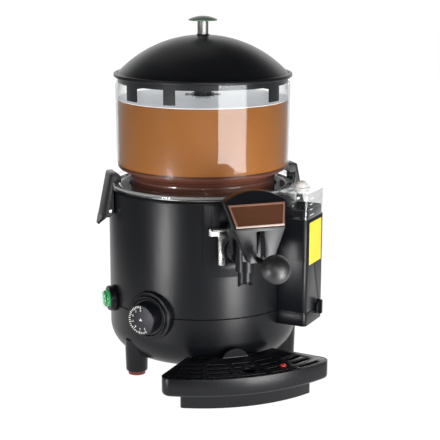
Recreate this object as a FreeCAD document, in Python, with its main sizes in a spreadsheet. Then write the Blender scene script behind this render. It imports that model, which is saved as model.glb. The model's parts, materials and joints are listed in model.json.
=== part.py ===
"""Hot chocolate dispenser: a bain-marie drink machine with a stirrer, a lever tap and a drip tray.

Frame: millimetres, +Z up, the front looks along -Y, the origin lies on the machine's axis at the counter.
Pieces that stand at an angle round the body are drawn at the front and turned about Z by their Placement.
"""
import FreeCAD, Part
import math
import os
import Sketcher
from FreeCAD import Placement, Rotation, Vector

doc = FreeCAD.newDocument("HotChocolateDispenser")
sheet = doc.addObject("Spreadsheet::Sheet", "sizes")
parts = []
UP = Vector(0, 0, 1)


# ---------------------------------------------------------------- sizes: a number with its sheet expression

class Size:
    """A length or an angle in degrees, with the sheet expression that gives it."""

    def __init__(self, number, text):
        self.number = number
        self.text = text

    def __add__(self, other):
        other = as_size(other)
        return Size(self.number + other.number, f"({self.text} + {other.text})")

    def __sub__(self, other):
        other = as_size(other)
        return Size(self.number - other.number, f"({self.text} - {other.text})")

    def __mul__(self, other):
        other = as_size(other)
        return Size(self.number * other.number, f"({self.text} * {other.text})")

    def __truediv__(self, other):
        other = as_size(other)
        return Size(self.number / other.number, f"({self.text} / {other.text})")

    def __radd__(self, other):
        return as_size(other) + self

    def __rsub__(self, other):
        return as_size(other) - self

    def __rmul__(self, other):
        return as_size(other) * self

    def __neg__(self):
        return Size(-self.number, f"(0 - {self.text})")


def as_size(value):
    """A plain number becomes a constant Size."""
    if isinstance(value, Size):
        return value
    return Size(float(value), f"({float(value)})")


def size(alias, number):
    """A driving dimension: one cell of the sheet, as text, under its own alias."""
    row = len(sheet.getUsedCells()) // 2 + 1
    sheet.set(f"A{row}", alias)
    sheet.set(f"B{row}", str(number))
    sheet.setAlias(f"B{row}", alias)
    return Size(float(number), f"sizes.{alias}")


def root(value):
    return Size(math.sqrt(value.number), f"sqrt({value.text})")


def sine(angle):
    return Size(math.sin(math.radians(angle.number)), f"sin({angle.text})")


def cosine(angle):
    return Size(math.cos(math.radians(angle.number)), f"cos({angle.text})")


def slope_angle(rise, run):
    ratio = rise / run
    return Size(math.degrees(math.atan(ratio.number)), f"(atan({ratio.text}) / 1 deg)")


def chord_angle(half_width, radius):
    """The angle off the axis at which a circle of this radius is half_width away from its middle plane."""
    ratio = half_width / radius
    return Size(math.degrees(math.asin(ratio.number)), f"(asin({ratio.text}) / 1 deg)")


# ---------------------------------------------------------------- sketches

def new_body(label):
    body = doc.addObject("PartDesign::Body", label)
    body.Label = label
    return body


def part(obj, label=None):
    """Marks an object as a finished sub-part, which gets a file of its own."""
    if label:
        obj.Label = label
    parts.append(obj)
    return obj


def origin_plane(body, role):
    return next(item for item in body.Origin.OriginFeatures if item.Role == role)


def sketch_on(body, role, offset=None, turn=None):
    """A sketch on one of the body's own planes, moved along its normal or turned about the vertical."""
    sketch = body.newObject("Sketcher::SketchObject", "sketch")
    sketch.AttachmentSupport = [(origin_plane(body, role), "")]
    sketch.MapMode = "FlatFace"
    if turn is not None:
        sketch.AttachmentOffset = Placement(Vector(), Rotation(Vector(0, 1, 0), as_size(turn).number))
        sketch.setExpression("AttachmentOffset.Rotation.Angle", as_size(turn).text)
    if offset is not None:
        sketch.AttachmentOffset.Base = Vector(0, 0, as_size(offset).number)
        sketch.setExpression("AttachmentOffset.Base.z", as_size(offset).text)
    return sketch


def bind(sketch, kind, value, *places):
    """One dimension of a sketch, bound to the sheet."""
    value = as_size(value)
    index = sketch.addConstraint(Sketcher.Constraint(kind, *places, value.number))
    sketch.setExpression(f"Constraints[{index}]", value.text)


def pin(sketch, geometry, point, x, y):
    """Fixes a point of a sketch at its two distances from the sketch's origin."""
    bind(sketch, "DistanceX", x, -1, 1, geometry, point)
    bind(sketch, "DistanceY", y, -1, 1, geometry, point)


def circle(sketch, x, y, radius):
    x, y, radius = as_size(x), as_size(y), as_size(radius)
    shape = Part.Circle(Vector(x.number, y.number, 0), UP, radius.number)
    index = sketch.addGeometry(shape, False)
    pin(sketch, index, 3, x, y)
    bind(sketch, "Radius", radius, index)


class Corner:
    """A corner of an outline; it may be rounded, and the edge that leaves it may be an arc.

    bulge gives that arc's centre: it lies on the line x = bulge of the sketch.
    """

    def __init__(self, x, y, radius=None, bulge=None):
        self.x = as_size(x)
        self.y = as_size(y)
        self.radius = None if radius is None else as_size(radius)
        self.bulge = None if bulge is None else as_size(bulge)

    def point(self):
        return Vector(self.x.number, self.y.number, 0)


def rounding_ends(corner, before, after):
    """Where the rounding of a corner leaves the two straight edges that meet there."""
    inward = (before.point() - corner.point()).normalize()
    outward = (after.point() - corner.point()).normalize()
    half_turn = inward.getAngle(outward) / 2
    reach = corner.radius.number / math.tan(half_turn)
    middle = (inward + outward).normalize()
    centre = corner.point() + middle * (corner.radius.number / math.sin(half_turn))
    return corner.point() + inward * reach, corner.point() + outward * reach, centre


def arc_between(centre, start, end):
    """The short arc from start to end, and whether it runs anticlockwise."""
    radius = (start - centre).Length
    first = math.atan2(start.y - centre.y, start.x - centre.x)
    last = math.atan2(end.y - centre.y, end.x - centre.x)
    forward = (last - first) % (2 * math.pi) < math.pi
    if not forward:
        first, last = last, first
    return Part.ArcOfCircle(Part.Circle(centre, UP, radius), first, last), forward


def bulge_centre(corner, following):
    """The centre of the arc between two corners, on the line x = bulge."""
    axis = corner.bulge.number
    a, b = corner.point(), following.point()
    height = ((a.x - axis) ** 2 - (b.x - axis) ** 2 + a.y ** 2 - b.y ** 2) / (2 * (a.y - b.y))
    return Vector(axis, height, 0)


def outline(sketch, corners):
    """A closed outline through the corners, every one of them pinned by dimensions from the sheet."""
    corners = [c if isinstance(c, Corner) else Corner(*c) for c in corners]
    count = len(corners)
    ends = []
    for i, corner in enumerate(corners):
        if corner.radius is None:
            ends.append((corner.point(), corner.point(), None))
        else:
            ends.append(rounding_ends(corner, corners[i - 1], corners[(i + 1) % count]))

    edges = []
    for i, corner in enumerate(corners):
        start, end = ends[i][1], ends[(i + 1) % count][0]
        if corner.bulge is None:
            edges.append((sketch.addGeometry(Part.LineSegment(start, end), False), 1, 2))
            continue
        arc, forward = arc_between(bulge_centre(corner, corners[(i + 1) % count]), start, end)
        index = sketch.addGeometry(arc, False)
        edges.append((index, 1, 2) if forward else (index, 2, 1))
        bind(sketch, "DistanceX", corner.bulge, -1, 1, index, 3)

    for i, corner in enumerate(corners):
        before, _, before_end = edges[i - 1]
        after, after_start, _ = edges[i]
        if corner.radius is None:
            join = Sketcher.Constraint("Coincident", before, before_end, after, after_start)
            sketch.addConstraint(join)
            pin(sketch, after, after_start, corner.x, corner.y)
            continue
        arc, forward = arc_between(ends[i][2], ends[i][0], ends[i][1])
        index = sketch.addGeometry(arc, False)
        first, last = (1, 2) if forward else (2, 1)
        sketch.addConstraint(Sketcher.Constraint("Tangent", before, before_end, index, first))
        sketch.addConstraint(Sketcher.Constraint("Tangent", index, last, after, after_start))
        bind(sketch, "Radius", corner.radius, index)
        tip = sketch.addGeometry(Part.Point(corner.point()), True)
        sketch.addConstraint(Sketcher.Constraint("PointOnObject", tip, 1, before))
        sketch.addConstraint(Sketcher.Constraint("PointOnObject", tip, 1, after))
        pin(sketch, tip, 1, corner.x, corner.y)


# ---------------------------------------------------------------- features

def feature(body, kind, sketch, **settings):
    """A sketched feature; a Size among its settings is bound to the sheet."""
    item = body.newObject(f"PartDesign::{kind}", kind.lower())
    item.Profile = sketch
    for name, value in settings.items():
        if isinstance(value, Size):
            setattr(item, name, value.number)
            item.setExpression(name, value.text)
        else:
            setattr(item, name, value)
    sketch.Visibility = False
    return item


def pad(body, sketch, length, both_ways=False, back=False, taper=None):
    side = "Symmetric" if both_ways else "One side"
    settings = {"Length": as_size(length), "SideType": side, "Reversed": back}
    if taper is not None:
        settings["TaperAngle"] = taper
    return feature(body, "Pad", sketch, **settings)


def pocket(body, sketch, length, both_ways=False, back=False):
    """Cuts along the sketch's normal, or against it with back=True."""
    side = "Symmetric" if both_ways else "One side"
    return feature(body, "Pocket", sketch, Length=as_size(length), SideType=side, Reversed=not back)


def revolve(body, sketch, axis="V_Axis", angle=360):
    """A full turn, or a sector centred on the sketch."""
    angle = as_size(angle)
    whole = angle.number == 360
    return feature(body, "Revolution", sketch, ReferenceAxis=(sketch, [axis]), Angle=angle, Midplane=not whole)


def groove(body, sketch, axis="V_Axis", angle=360):
    angle = as_size(angle)
    whole = angle.number == 360
    return feature(body, "Groove", sketch, ReferenceAxis=(sketch, [axis]), Angle=angle, Midplane=not whole)


def polar_pattern(body, originals, count, angle):
    """Copies round the body's Z axis, over the angle from the first to the last of them."""
    doc.recompute()
    pattern = body.newObject("PartDesign::PolarPattern", "pattern")
    pattern.Originals = originals
    pattern.Axis = (next(f for f in body.Origin.OriginFeatures if f.Role == "Z_Axis"), [""])
    pattern.Occurrences = count
    pattern.Angle = as_size(angle).number
    if isinstance(angle, Size):
        pattern.setExpression("Angle", angle.text)
    body.Tip = pattern
    return pattern


def mirror(body, originals, role="YZ_Plane"):
    doc.recompute()
    mirrored = body.newObject("PartDesign::Mirrored", "mirrored")
    mirrored.Originals = originals
    mirrored.MirrorPlane = (origin_plane(body, role), [""])
    body.Tip = mirrored
    return mirrored


def fillet(body, radius, wanted):
    """Rounds the edges of the tip that pass the test."""
    doc.recompute()
    base = body.Tip
    names = [f"Edge{i}" for i, edge in enumerate(base.Shape.Edges, 1) if wanted(edge)]
    rounding = body.newObject("PartDesign::Fillet", "fillet")
    rounding.Base = (base, names)
    rounding.Radius = as_size(radius).number
    rounding.setExpression("Radius", as_size(radius).text)
    return rounding


def upright_at(radius):
    """A test for upright edges at a distance from the Z axis."""
    def test(edge):
        start, end = edge.Vertexes[0].Point, edge.Vertexes[-1].Point
        upright = math.hypot(end.x - start.x, end.y - start.y) < 0.01 and abs(end.z - start.z) > 0.1
        return upright and abs(math.hypot(start.x, start.y) - radius.number) < 0.01
    return test


def turned(obj, angle):
    """Turns a sub-part about the machine's axis, from the front towards +X."""
    obj.Placement = Placement(Vector(), Rotation(UP, as_size(angle).number))
    obj.setExpression("Placement.Rotation.Angle", as_size(angle).text)


def moved(obj, x=0, y=0, z=0):
    x, y, z = as_size(x), as_size(y), as_size(z)
    obj.Placement.Base = Vector(x.number, y.number, z.number)
    obj.setExpression("Placement.Base.x", x.text)
    obj.setExpression("Placement.Base.y", y.text)
    obj.setExpression("Placement.Base.z", z.text)


def radial_hole(body, angle, height, radius):
    """A round hole through the wall, square to the body's axis, at an angle from the front."""
    sketch = sketch_on(body, "XZ_Plane", turn=angle)
    circle(sketch, 0, height, radius)
    pocket(body, sketch, hole_reach)
    doc.recompute()


def ring(body, inner, outer, bottom, top, angle=360, role="XZ_Plane", cut=False):
    """A rectangle turned about Z: a ring, or a sector centred on -Y when drawn on the YZ plane."""
    side = -1 if role == "YZ_Plane" else 1
    inner, outer = as_size(inner) * side, as_size(outer) * side
    sketch = sketch_on(body, role)
    outline(sketch, [(inner, bottom), (outer, bottom), (outer, top), (inner, top)])
    return (groove if cut else revolve)(body, sketch, angle=angle)


# ---------------------------------------------------------------- driving dimensions

fit_gap = size("fitGap", 0.3)
slide_gap = size("slideGap", 0.5)
pin_gap = size("pinGap", 0.08)

# Housing shells
body_radius = size("bodyRadius", 126)
shell_wall = size("shellWall", 3)
shell_floor = size("shellFloorHeight", 18.6)
corner_radius = size("shellCornerRadius", 39.2)
seam_height = size("seamHeight", 91)
seam_bevel = size("seamBevel", 0.8)
shell_top = size("shellTop", 244)
top_round = size("shellTopRound", 3.5)
lap_height = size("lapHeight", 5)
lap_wall = size("lapWall", 1.8)
floor_opening = size("floorOpening", 60)
lip_opening = size("lipOpening", 112)

# Base plate, legs
plate_radius = size("basePlateRadius", 72)
plate_thick = size("basePlateThick", 1.5)
vent_count = 12
vent_width = size("ventWidth", 5)
vent_inner = size("ventInner", 24)
vent_outer = size("ventOuter", 50)
screw_circle = size("screwCircle", 66)
screw_radius = size("screwRadius", 1.9)
screw_head = size("screwHeadRadius", 3.6)
screw_head_height = size("screwHeadHeight", 2)
leg_circle = size("legCircle", 111.5)
leg_angle = size("legAngle", 70)
leg_top_radius = size("legTopRadius", 15.5)
leg_foot_radius = size("legFootRadius", 14.2)
leg_top = size("legTop", 50)
foot_pad_radius = size("footPadRadius", 11.2)
foot_pad_height = size("footPadHeight", 4.5)

# Bain-marie pan and what hangs under it
pan_radius = size("panRadius", 111.5)
pan_wall = size("panWall", 1)
pan_floor = size("panFloorHeight", 110)
pan_flange = size("panFlangeRadius", 121.5)
pan_tube_height = size("panTubeTop", 235)
shaft_radius = size("shaftRadius", 4)
tube_wall = size("tubeWall", 1)
tube_gap = size("tubeGap", 0.6)
heater_ring = size("heaterRingRadius", 70)
heater_tube = size("heaterTubeRadius", 4)
heater_rise = size("heaterRise", 14)
heater_spread = size("heaterLegSpread", 12)
link_height = size("linkPipeHeight", 125)
link_radius = size("linkPipeRadius", 6)
gearbox_width = size("gearboxWidth", 62)
gearbox_height = size("gearboxHeight", 34)
motor_radius = size("motorRadius", 26)
motor_height = size("motorHeight", 34)
bracket_thick = size("bracketThick", 2)
standoff_height = size("standoffHeight", 4)
standoff_reach = size("standoffReach", 44)
standoff_radius = size("standoffRadius", 5)

# Bowl
gasket_height = size("gasketHeight", 1.2)
gasket_inner = size("gasketInner", 113)
gasket_outer = size("gasketOuter", 119)
bowl_radius = size("bowlRadius", 116)
bowl_wall = size("bowlWall", 2.8)
bowl_top = size("bowlTop", 388)
bowl_shoulder = size("bowlShoulderHeight", 264)
bowl_shoulder_round = size("bowlShoulderRound", 9)
neck_radius = size("bowlNeckRadius", 104)
flange_radius = size("bowlFlangeRadius", 124.6)
flange_height = size("bowlFlangeHeight", 8.2)
cup_radius = size("cupRadius", 98.5)
cup_floor = size("cupFloorHeight", 162)
cup_round = size("cupRound", 12)
standpipe_wall = size("standpipeWall", 1.5)
standpipe_top = size("standpipeTop", 373)
port_radius = size("portRadius", 15)
port_bore = size("portBore", 11)
port_reach = size("portReach", 122)
port_seal_wall = size("portSealWall", 4)

# Stirrer
sleeve_wall = size("sleeveWall", 1.9)
sleeve_lift = size("sleeveLift", 3)
sleeve_cap = size("sleeveCap", 7)
star_radius = size("starRadius", 27)
star_low = size("starLowHeight", 363)
star_pitch = size("starPitch", 7)
star_thick = size("starThick", 1.2)
star_count = 10
paddle_reach = size("paddleReach", 86)
paddle_height = size("paddleHeight", 14)
paddle_thick = size("paddleThick", 3)
paddle_lean = size("paddleLean", 9)
hub_wall = size("hubWall", 3.5)

# Lid and its handle
lid_radius = size("lidRadius", 117.7)
lid_wall = size("lidWall", 2.5)
lid_rim_height = size("lidRimHeight", 4.6)
lid_sphere = size("lidSphereRadius", 153.5)
lid_centre = size("lidSphereCentre", 288)
lid_land = size("lidLandRadius", 113)
boss_radius = size("lidBossRadius", 8.6)
boss_top = size("lidBossTop", 442.6)
skirt_depth = size("lidSkirtDepth", 7)
skirt_wall = size("lidSkirtWall", 2)
tab_depth = size("lidTabDepth", 19)
tab_angle = size("lidTabAngle", 11)
narrow_tab_angle = size("lidNarrowTabAngle", 8)
lid_tabs = ((-144, tab_angle), (-72, tab_angle), (-40, narrow_tab_angle), (36, tab_angle), (108, tab_angle))
stud_radius = size("studRadius", 7.4)
stud_tenon = size("studTenonRadius", 4)
stud_top = size("studTop", 460)
stud_tip = size("studTipHeight", 3.5)
knob_radius = size("knobRadius", 19.2)
knob_edge = size("knobEdgeHeight", 1.8)
knob_top = size("knobTop", 466)

# Clips
clip_width = size("clipWidth", 32)
clip_wall = size("clipWall", 3)
clip_pin_reach = size("clipPinReach", 132)
clip_pin_height = size("clipPinHeight", 217.6)
clip_pin_radius = size("clipPinRadius", 1.8)
clip_inner = size("clipInnerReach", 127)
clip_nose = size("clipNoseReach", 116.8)
clip_top = size("clipTop", 266.8)
clip_top_reach = size("clipTopReach", 129.2)
clip_knee_reach = size("clipKneeReach", 140.8)
clip_knee_drop = size("clipKneeDrop", 7.6)
clip_tip_reach = size("clipTipReach", 146.6)
clip_tip_drop = size("clipTipDrop", 18.3)
clip_tip_half = size("clipTipHalfWidth", 5.3)
clip_lug = size("clipLugDrop", 8.2)
clip_lug_reach = size("clipLugReach", 5.5)
clip_back = size("clipBackWall", 1.9)
bracket_eye = size("bracketEyeRadius", 3.9)

# Thermostat dial and power switch
dial_angle = size("dialAngle", -50)
dial_height = size("dialHeight", 91.5)
bezel_radius = size("bezelRadius", 32)
bezel_step_radius = size("bezelStepRadius", 27.5)
bezel_front = size("bezelFront", 131)
bezel_step = size("bezelStep", 4)
skirt_radius = size("dialSkirtRadius", 24.5)
dial_skirt = size("dialSkirtThick", 3.2)
dial_radius = size("dialRadius", 20.5)
dial_front = size("dialFront", 149)
spindle_radius = size("spindleRadius", 3)
bush_radius = size("thermostatBushRadius", 5)
thermostat_width = size("thermostatWidth", 34)
thermostat_depth = size("thermostatDepth", 24)
thermostat_front = size("thermostatFront", 118)
switch_angle = size("switchAngle", -88)
switch_height = size("switchHeight", 96.5)
switch_flange = size("switchFlangeRadius", 17.5)
switch_front = size("switchFront", 134.5)
switch_neck = size("switchNeckRadius", 14)
switch_back = size("switchBack", 108)
button_radius = size("buttonRadius", 12)
button_front = size("buttonFront", 143.5)
button_travel = size("buttonTravel", 3)
button_cap_wall = size("buttonCapWall", 1.1)

# Tap: radii about its own axis, reaches measured out from the machine's axis
tap_height = size("tapHeight", 185.4)
panel_half = size("panelHalfWidth", 39.4)
panel_thick = size("panelThick", 1.4)
panel_bottom = size("panelBottom", 147)
panel_step = size("panelStep", 10)
panel_relief = size("panelRelief", 0.9)
panel_round = size("panelCornerRound", 20)
tap_hole = size("tapHoleRadius", 19)
tap_collar = size("tapCollarRadius", 21.5)
tap_collar_back = size("tapCollarBack", 128.8)
tap_collar_thick = size("tapCollarThick", 3.7)
tap_groove = size("tapGrooveRadius", 15)
tap_groove_width = size("tapGrooveWidth", 4.4)
tap_shoulder = size("tapShoulderRadius", 18.5)
tap_shoulder_thick = size("tapShoulderThick", 3.6)
tap_barrel = size("tapBarrelRadius", 16)
tap_inner_end = size("tapInnerEnd", 104)
tap_bore = size("tapBoreRadius", 8)
spout_reach = size("spoutReach", 169)
chamber_radius = size("chamberRadius", 12.3)
chamber_bore = size("chamberBore", 9.5)
chamber_top = size("chamberTop", 22.6)
chamber_bottom = size("chamberBottom", -19.4)
seat_height = size("seatHeight", -13.4)
spout_radius = size("spoutRadius", 9.4)
spout_bore = size("spoutBore", 6.6)
spout_mouth = size("spoutMouth", -39.2)
mouth_bevel = size("mouthBevel", 8)
cheek_inner = size("cheekInner", 12.1)
cheek_thick = size("cheekThick", 3.4)
pivot_reach = size("pivotReach", 158)
pivot_rise = size("pivotRise", 29.6)
pivot_radius = size("pivotRadius", 1.6)
cap_thick = size("valveCapThick", 2.5)
cap_plug = size("valveCapPlug", 1.8)
rod_radius = size("valveRodRadius", 2.8)
valve_head = size("valveHeadRadius", 8.4)
valve_seal_thick = size("valveSealThick", 4)
valve_head_thick = size("valveHeadThick", 4)
valve_guide_low = size("valveGuideLow", 11)
valve_guide_thick = size("valveGuideThick", 4.6)
spool_radius = size("spoolRadius", 6.8)
spool_wall = size("spoolWall", 1.5)
trunnion_radius = size("trunnionRadius", 1.6)
trunnion_gap = size("trunnionGap", 0.25)
lever_inner = size("leverArmInner", 8)
lever_arm = size("leverArmThick", 3.5)
lever_height = size("leverArmHeight", 7)
lever_front = size("leverFront", 190.5)
lever_web = size("leverWebThick", 5)
lever_drop = size("leverDrop", -2)
lever_web_height = size("leverWebHeight", 9)
lever_rod = size("leverRodRadius", 4)
lever_rod_rise = size("leverRodRise", 2.5)
ball_reach = size("ballReach", 271.4)
ball_rise = size("ballRise", 8.7)
ball_radius = size("ballRadius", 17.2)
ball_flat = size("ballFlat", 15.7)
fork_inner = size("forkInner", 15.3)
fork_leg = size("forkLegWidth", 8.5)
fork_half_width = size("forkHalfWidth", 36)
fork_bar_low = size("forkBarLow", 18.5)
fork_bar_high = size("forkBarHigh", 28.5)
fork_foot = size("forkFoot", 20)
fork_thick = size("forkThick", 2.6)
fork_lip = size("forkLip", 11)

# Shield in front of the tap: places of its bends, reach by height
shield_top = size("shieldTop", 281)
shield_top_reach = size("shieldTopReach", 190)
label_top = size("labelTop", 258)
label_top_reach = size("labelTopReach", 204)
label_bottom = size("labelBottom", 231)
label_bottom_reach = size("labelBottomReach", 219.5)
shield_bottom = size("shieldBottom", 190)
shield_bottom_reach = size("shieldBottomReach", 224.5)
shield_depth = size("shieldDepth", 14)
shield_wall = size("shieldWall", 3)
shield_half_top = size("shieldHalfTop", 39)
shield_shoulder = size("shieldShoulder", 260)
shield_half_middle = size("shieldHalfMiddle", 32)
shield_half_bottom = size("shieldHalfBottom", 15)
shield_arch = size("shieldArchRadius", 70)
slot_width = size("slotWidth", 10)
slot_top = size("slotTop", 227.4)
badge_top_half = size("badgeTopHalf", 34)
badge_bottom_half = size("badgeBottomHalf", 28)
badge_height = size("badgeHeight", 28)
badge_thick = size("badgeThick", 1.6)
rib_inner = size("shieldRibInner", 16)
rib_thick = size("shieldRibThick", 3)
rib_end = size("shieldRibEnd", 5.5)

# Water box
box_angle = size("boxAngle", 45)
box_half = size("boxHalfWidth", 29)
box_front = size("boxFront", 163.3)
box_bottom = size("boxBottom", 73.3)
box_split = size("boxSplit", 214.8)
box_top = size("boxTop", 249.2)
box_wall = size("boxWall", 3.5)
box_round = size("boxRound", 6)
box_collar = size("boxCollarHeight", 11.8)
window_wall = size("windowWall", 1.8)
filler_back = size("fillerFromHousing", 17)
filler_hole = size("fillerHoleRadius", 8.2)
filler_flange = size("fillerFlangeRadius", 11)
filler_dome = size("fillerDomeRadius", 9.4)
filler_height = size("fillerHeight", 11)
drain_side = size("drainSide", 13.5)
drain_height = size("drainHeight", 90.5)
drain_stem = size("drainStemRadius", 4)
drain_radius = size("drainKnobRadius", 9.6)
drain_front = size("drainFront", 169.5)
drain_bar = size("drainBarWidth", 4)

# Drip tray
tray_front = size("trayFront", 210.2)
tray_arc = size("trayFrontArc", 228)
tray_rear = size("trayRear", 128.5)
tray_meet = size("traySidesMeet", 51)
tray_side_angle = size("traySideAngle", 42.6)
tray_top = size("trayTop", 42.2)
tray_band_bottom = size("trayBandBottom", 18.6)
tray_base_front = size("trayBaseFront", 197.5)
tray_base_rear = size("trayBaseRear", 100)
tray_base_half_angle = size("trayBaseHalfAngle", 26.3)
tray_wall = size("trayWall", 2.2)
tray_ledge = size("trayLedge", 1.8)
tray_corner = size("trayCorner", 12.5)
tray_edge = size("trayLowerEdgeRound", 5)
grille_thick = size("grilleThick", 3.9)
slot_first = size("grilleSlotFirst", 156.5)
slot_radial = size("grilleSlotWidth", 5.6)
slot_pitch = size("grilleSlotPitch", 14.9)
slot_rows = 4
slot_columns = 5
slot_angle = size("grilleSlotAngle", 9.4)
slot_rim = size("grilleRim", 2.6)
column_angle = size("grilleColumnAngle", 11.4)
drain_boss = size("grilleBossRadius", 14)
drain_hole = size("grilleHoleRadius", 9)
drain_reach = size("grilleHoleReach", 186)
stop_half = size("cupStopHalfWidth", 17.5)
stop_thick = size("cupStopThick", 3)
stop_height = size("cupStopHeight", 11.5)
float_x = size("floatSide", 46.5)
float_y = size("floatReach", 182)
float_stem = size("floatStemRadius", 4.2)
float_disc = size("floatDiscRadius", 9)
float_disc_low = size("floatDiscLow", 22)
float_disc_thick = size("floatDiscThick", 6)
float_top = size("floatTop", 44.5)
float_boss = size("floatBossRadius", 8)

# Inner fittings
terminal_width = size("terminalWidth", 40)
terminal_depth = size("terminalDepth", 16)
terminal_height = size("terminalHeight", 15)
terminal_reach = size("terminalReach", 64)
gland_angle = size("glandAngle", 150)
gland_height = size("glandHeight", 74)
gland_radius = size("glandRadius", 8)
gland_flange = size("glandFlangeRadius", 12)

doc.recompute()

# What several pieces take from the values above
shell_inner = body_radius - shell_wall
pan_tube_inner = shaft_radius + tube_gap
pan_tube_outer = pan_tube_inner + tube_wall
standpipe_inner = pan_tube_outer + tube_gap
standpipe_outer = standpipe_inner + standpipe_wall
sleeve_inner = standpipe_outer + tube_gap
sleeve_outer = sleeve_inner + sleeve_wall
heater_leg_reach = root(heater_ring * heater_ring - heater_spread * heater_spread)
screw_side = screw_circle * cosine(as_size(45))
pan_top = shell_top + pan_wall
flange_bottom = pan_top + gasket_height
flange_top = flange_bottom + flange_height
cup_inner = cup_radius - bowl_wall
cup_floor_top = cup_floor + bowl_wall
bowl_inner = bowl_radius - bowl_wall
gearbox_top = pan_floor - standoff_height - bracket_thick
lid_bottom = bowl_top + fit_gap
lid_rim_top = lid_bottom + lid_rim_height
skirt_outer = bowl_inner - slide_gap
skirt_inner = skirt_outer - skirt_wall
skirt_bottom = lid_bottom - skirt_depth
panel_outer = body_radius + panel_thick
grille_bottom = tray_top - grille_thick
filler_reach = body_radius + filler_back
hole_reach = body_radius + bezel_radius


# ---------------------------------------------------------------- housing shells

def shell_profile():
    """The lower shell's outer corner, rounded, and the start of the bevel at its seam."""
    return [(body_radius, shell_floor, corner_radius), (body_radius, seam_height - seam_bevel)]


def lower_shell():
    body = new_body("lower_shell")
    lip_outer = shell_inner - fit_gap
    lip_inner = lip_outer - lap_wall
    sketch = sketch_on(body, "XZ_Plane")
    outline(sketch, [
        (floor_opening, shell_floor),
        *shell_profile(),
        (body_radius - seam_bevel, seam_height),
        (lip_outer, seam_height),
        (lip_outer, seam_height + lap_height),
        (lip_inner, seam_height + lap_height),
        (lip_inner, seam_height - lap_height),
        (shell_inner, seam_height - lap_height - lap_wall),
        (shell_inner, shell_floor + shell_wall, corner_radius - shell_wall),
        (floor_opening, shell_floor + shell_wall),
    ])
    revolve(body, sketch)
    radial_hole(body, dial_angle, dial_height, bush_radius + pin_gap)
    radial_hole(body, switch_angle, switch_height, switch_neck + pin_gap)
    radial_hole(body, gland_angle, gland_height, gland_radius)
    screws = sketch_on(body, "XY_Plane", offset=shell_floor)
    circle(screws, screw_side, screw_side, screw_radius)
    hole = pocket(body, screws, shell_wall)
    polar_pattern(body, [hole], 4, 270)
    return part(body)


def upper_shell():
    body = new_body("upper_shell")
    sketch = sketch_on(body, "XZ_Plane")
    outline(sketch, [
        (shell_inner, seam_height),
        (body_radius - seam_bevel, seam_height),
        (body_radius, seam_height + seam_bevel),
        (body_radius, shell_top, top_round),
        (lip_opening, shell_top),
        (lip_opening, shell_top - shell_wall),
        (shell_inner, shell_top - shell_wall, 2),
    ])
    revolve(body, sketch)
    radial_hole(body, 0, tap_height, tap_hole)
    radial_hole(body, dial_angle, dial_height, bush_radius + pin_gap)
    radial_hole(body, switch_angle, switch_height, switch_neck + pin_gap)
    radial_hole(body, box_angle, link_height, link_radius)
    return part(body)


def tap_panel():
    """A raised U-shaped panel, moulded in two steps, with the tap through its middle."""
    body = new_body("tap_panel")
    top = shell_top - top_round - fit_gap
    for outer, low, half, rounding in (
        (panel_outer, panel_bottom, panel_half, panel_round),
        (panel_outer + panel_relief, panel_bottom + panel_step, panel_half - panel_step, panel_round - 6),
    ):
        sketch = sketch_on(body, "XZ_Plane", offset=body_radius / 2)
        outline(sketch, [(-half, low, rounding), (half, low, rounding), (half, top), (-half, top)])
        pad(body, sketch, body_radius)
        ring(body, outer, body_radius * 2, low - 1, top + 1, cut=True)
    ring(body, 0, body_radius, panel_bottom - 1, top + 1, cut=True)
    radial_hole(body, 0, tap_height, tap_hole)
    return part(body)


def base_plate():
    body = new_body("base_plate")
    sketch = sketch_on(body, "XY_Plane", offset=shell_floor - plate_thick)
    circle(sketch, 0, 0, plate_radius)
    pad(body, sketch, plate_thick)
    vents = sketch_on(body, "XY_Plane", offset=shell_floor)
    half = vent_width / 2
    end = half - 0.1
    outline(vents, [
        (vent_inner, -half, end), (vent_outer, -half, end), (vent_outer, half, end), (vent_inner, half, end),
    ])
    vent = pocket(body, vents, plate_thick, back=True)
    polar_pattern(body, [vent], vent_count, 360)
    screws = sketch_on(body, "XY_Plane", offset=shell_floor)
    circle(screws, screw_side, screw_side, screw_radius)
    hole = pocket(body, screws, plate_thick, back=True)
    polar_pattern(body, [hole], 4, 270)
    return part(body)


def base_screws():
    """Four pan-head screws that hold the base plate to the shell's floor."""
    body = new_body("base_screws")
    shank = sketch_on(body, "XY_Plane", offset=shell_floor - plate_thick)
    head = sketch_on(body, "XY_Plane", offset=shell_floor - plate_thick - screw_head_height)
    for x, y in ((1, 1), (1, -1), (-1, -1), (-1, 1)):
        circle(shank, screw_side * x, screw_side * y, screw_radius)
        circle(head, screw_side * x, screw_side * y, screw_head)
    pad(body, head, screw_head_height)
    pad(body, shank, plate_thick + shell_wall + 1)
    return part(body)


def leg(label, angle):
    """A tapered leg whose top follows the shell's rounded corner."""
    body = new_body(label)
    height = leg_top - foot_pad_height
    sketch = sketch_on(body, "XY_Plane", offset=foot_pad_height)
    circle(sketch, 0, -leg_circle, leg_foot_radius)
    pad(body, sketch, height, taper=slope_angle(leg_top_radius - leg_foot_radius, height))

    def rim(edge):
        return edge.Curve.TypeId == "Part::GeomCircle"

    fillet(body, 2, rim)
    shell = sketch_on(body, "XZ_Plane")
    outline(shell, [(0, shell_floor), *shell_profile(), (0, seam_height - seam_bevel)])
    groove(body, shell)
    turned(body, angle)
    return part(body)


def foot_pads():
    """Three soft pads under the legs."""
    body = new_body("foot_pads")
    side = leg_circle * sine(leg_angle)
    front = leg_circle * cosine(leg_angle)
    sketch = sketch_on(body, "XY_Plane")
    circle(sketch, -side, -front, foot_pad_radius)
    circle(sketch, side, -front, foot_pad_radius)
    circle(sketch, 0, leg_circle, foot_pad_radius)
    pad(body, sketch, foot_pad_height)
    return part(body)


# ---------------------------------------------------------------- water bath and drive

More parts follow.
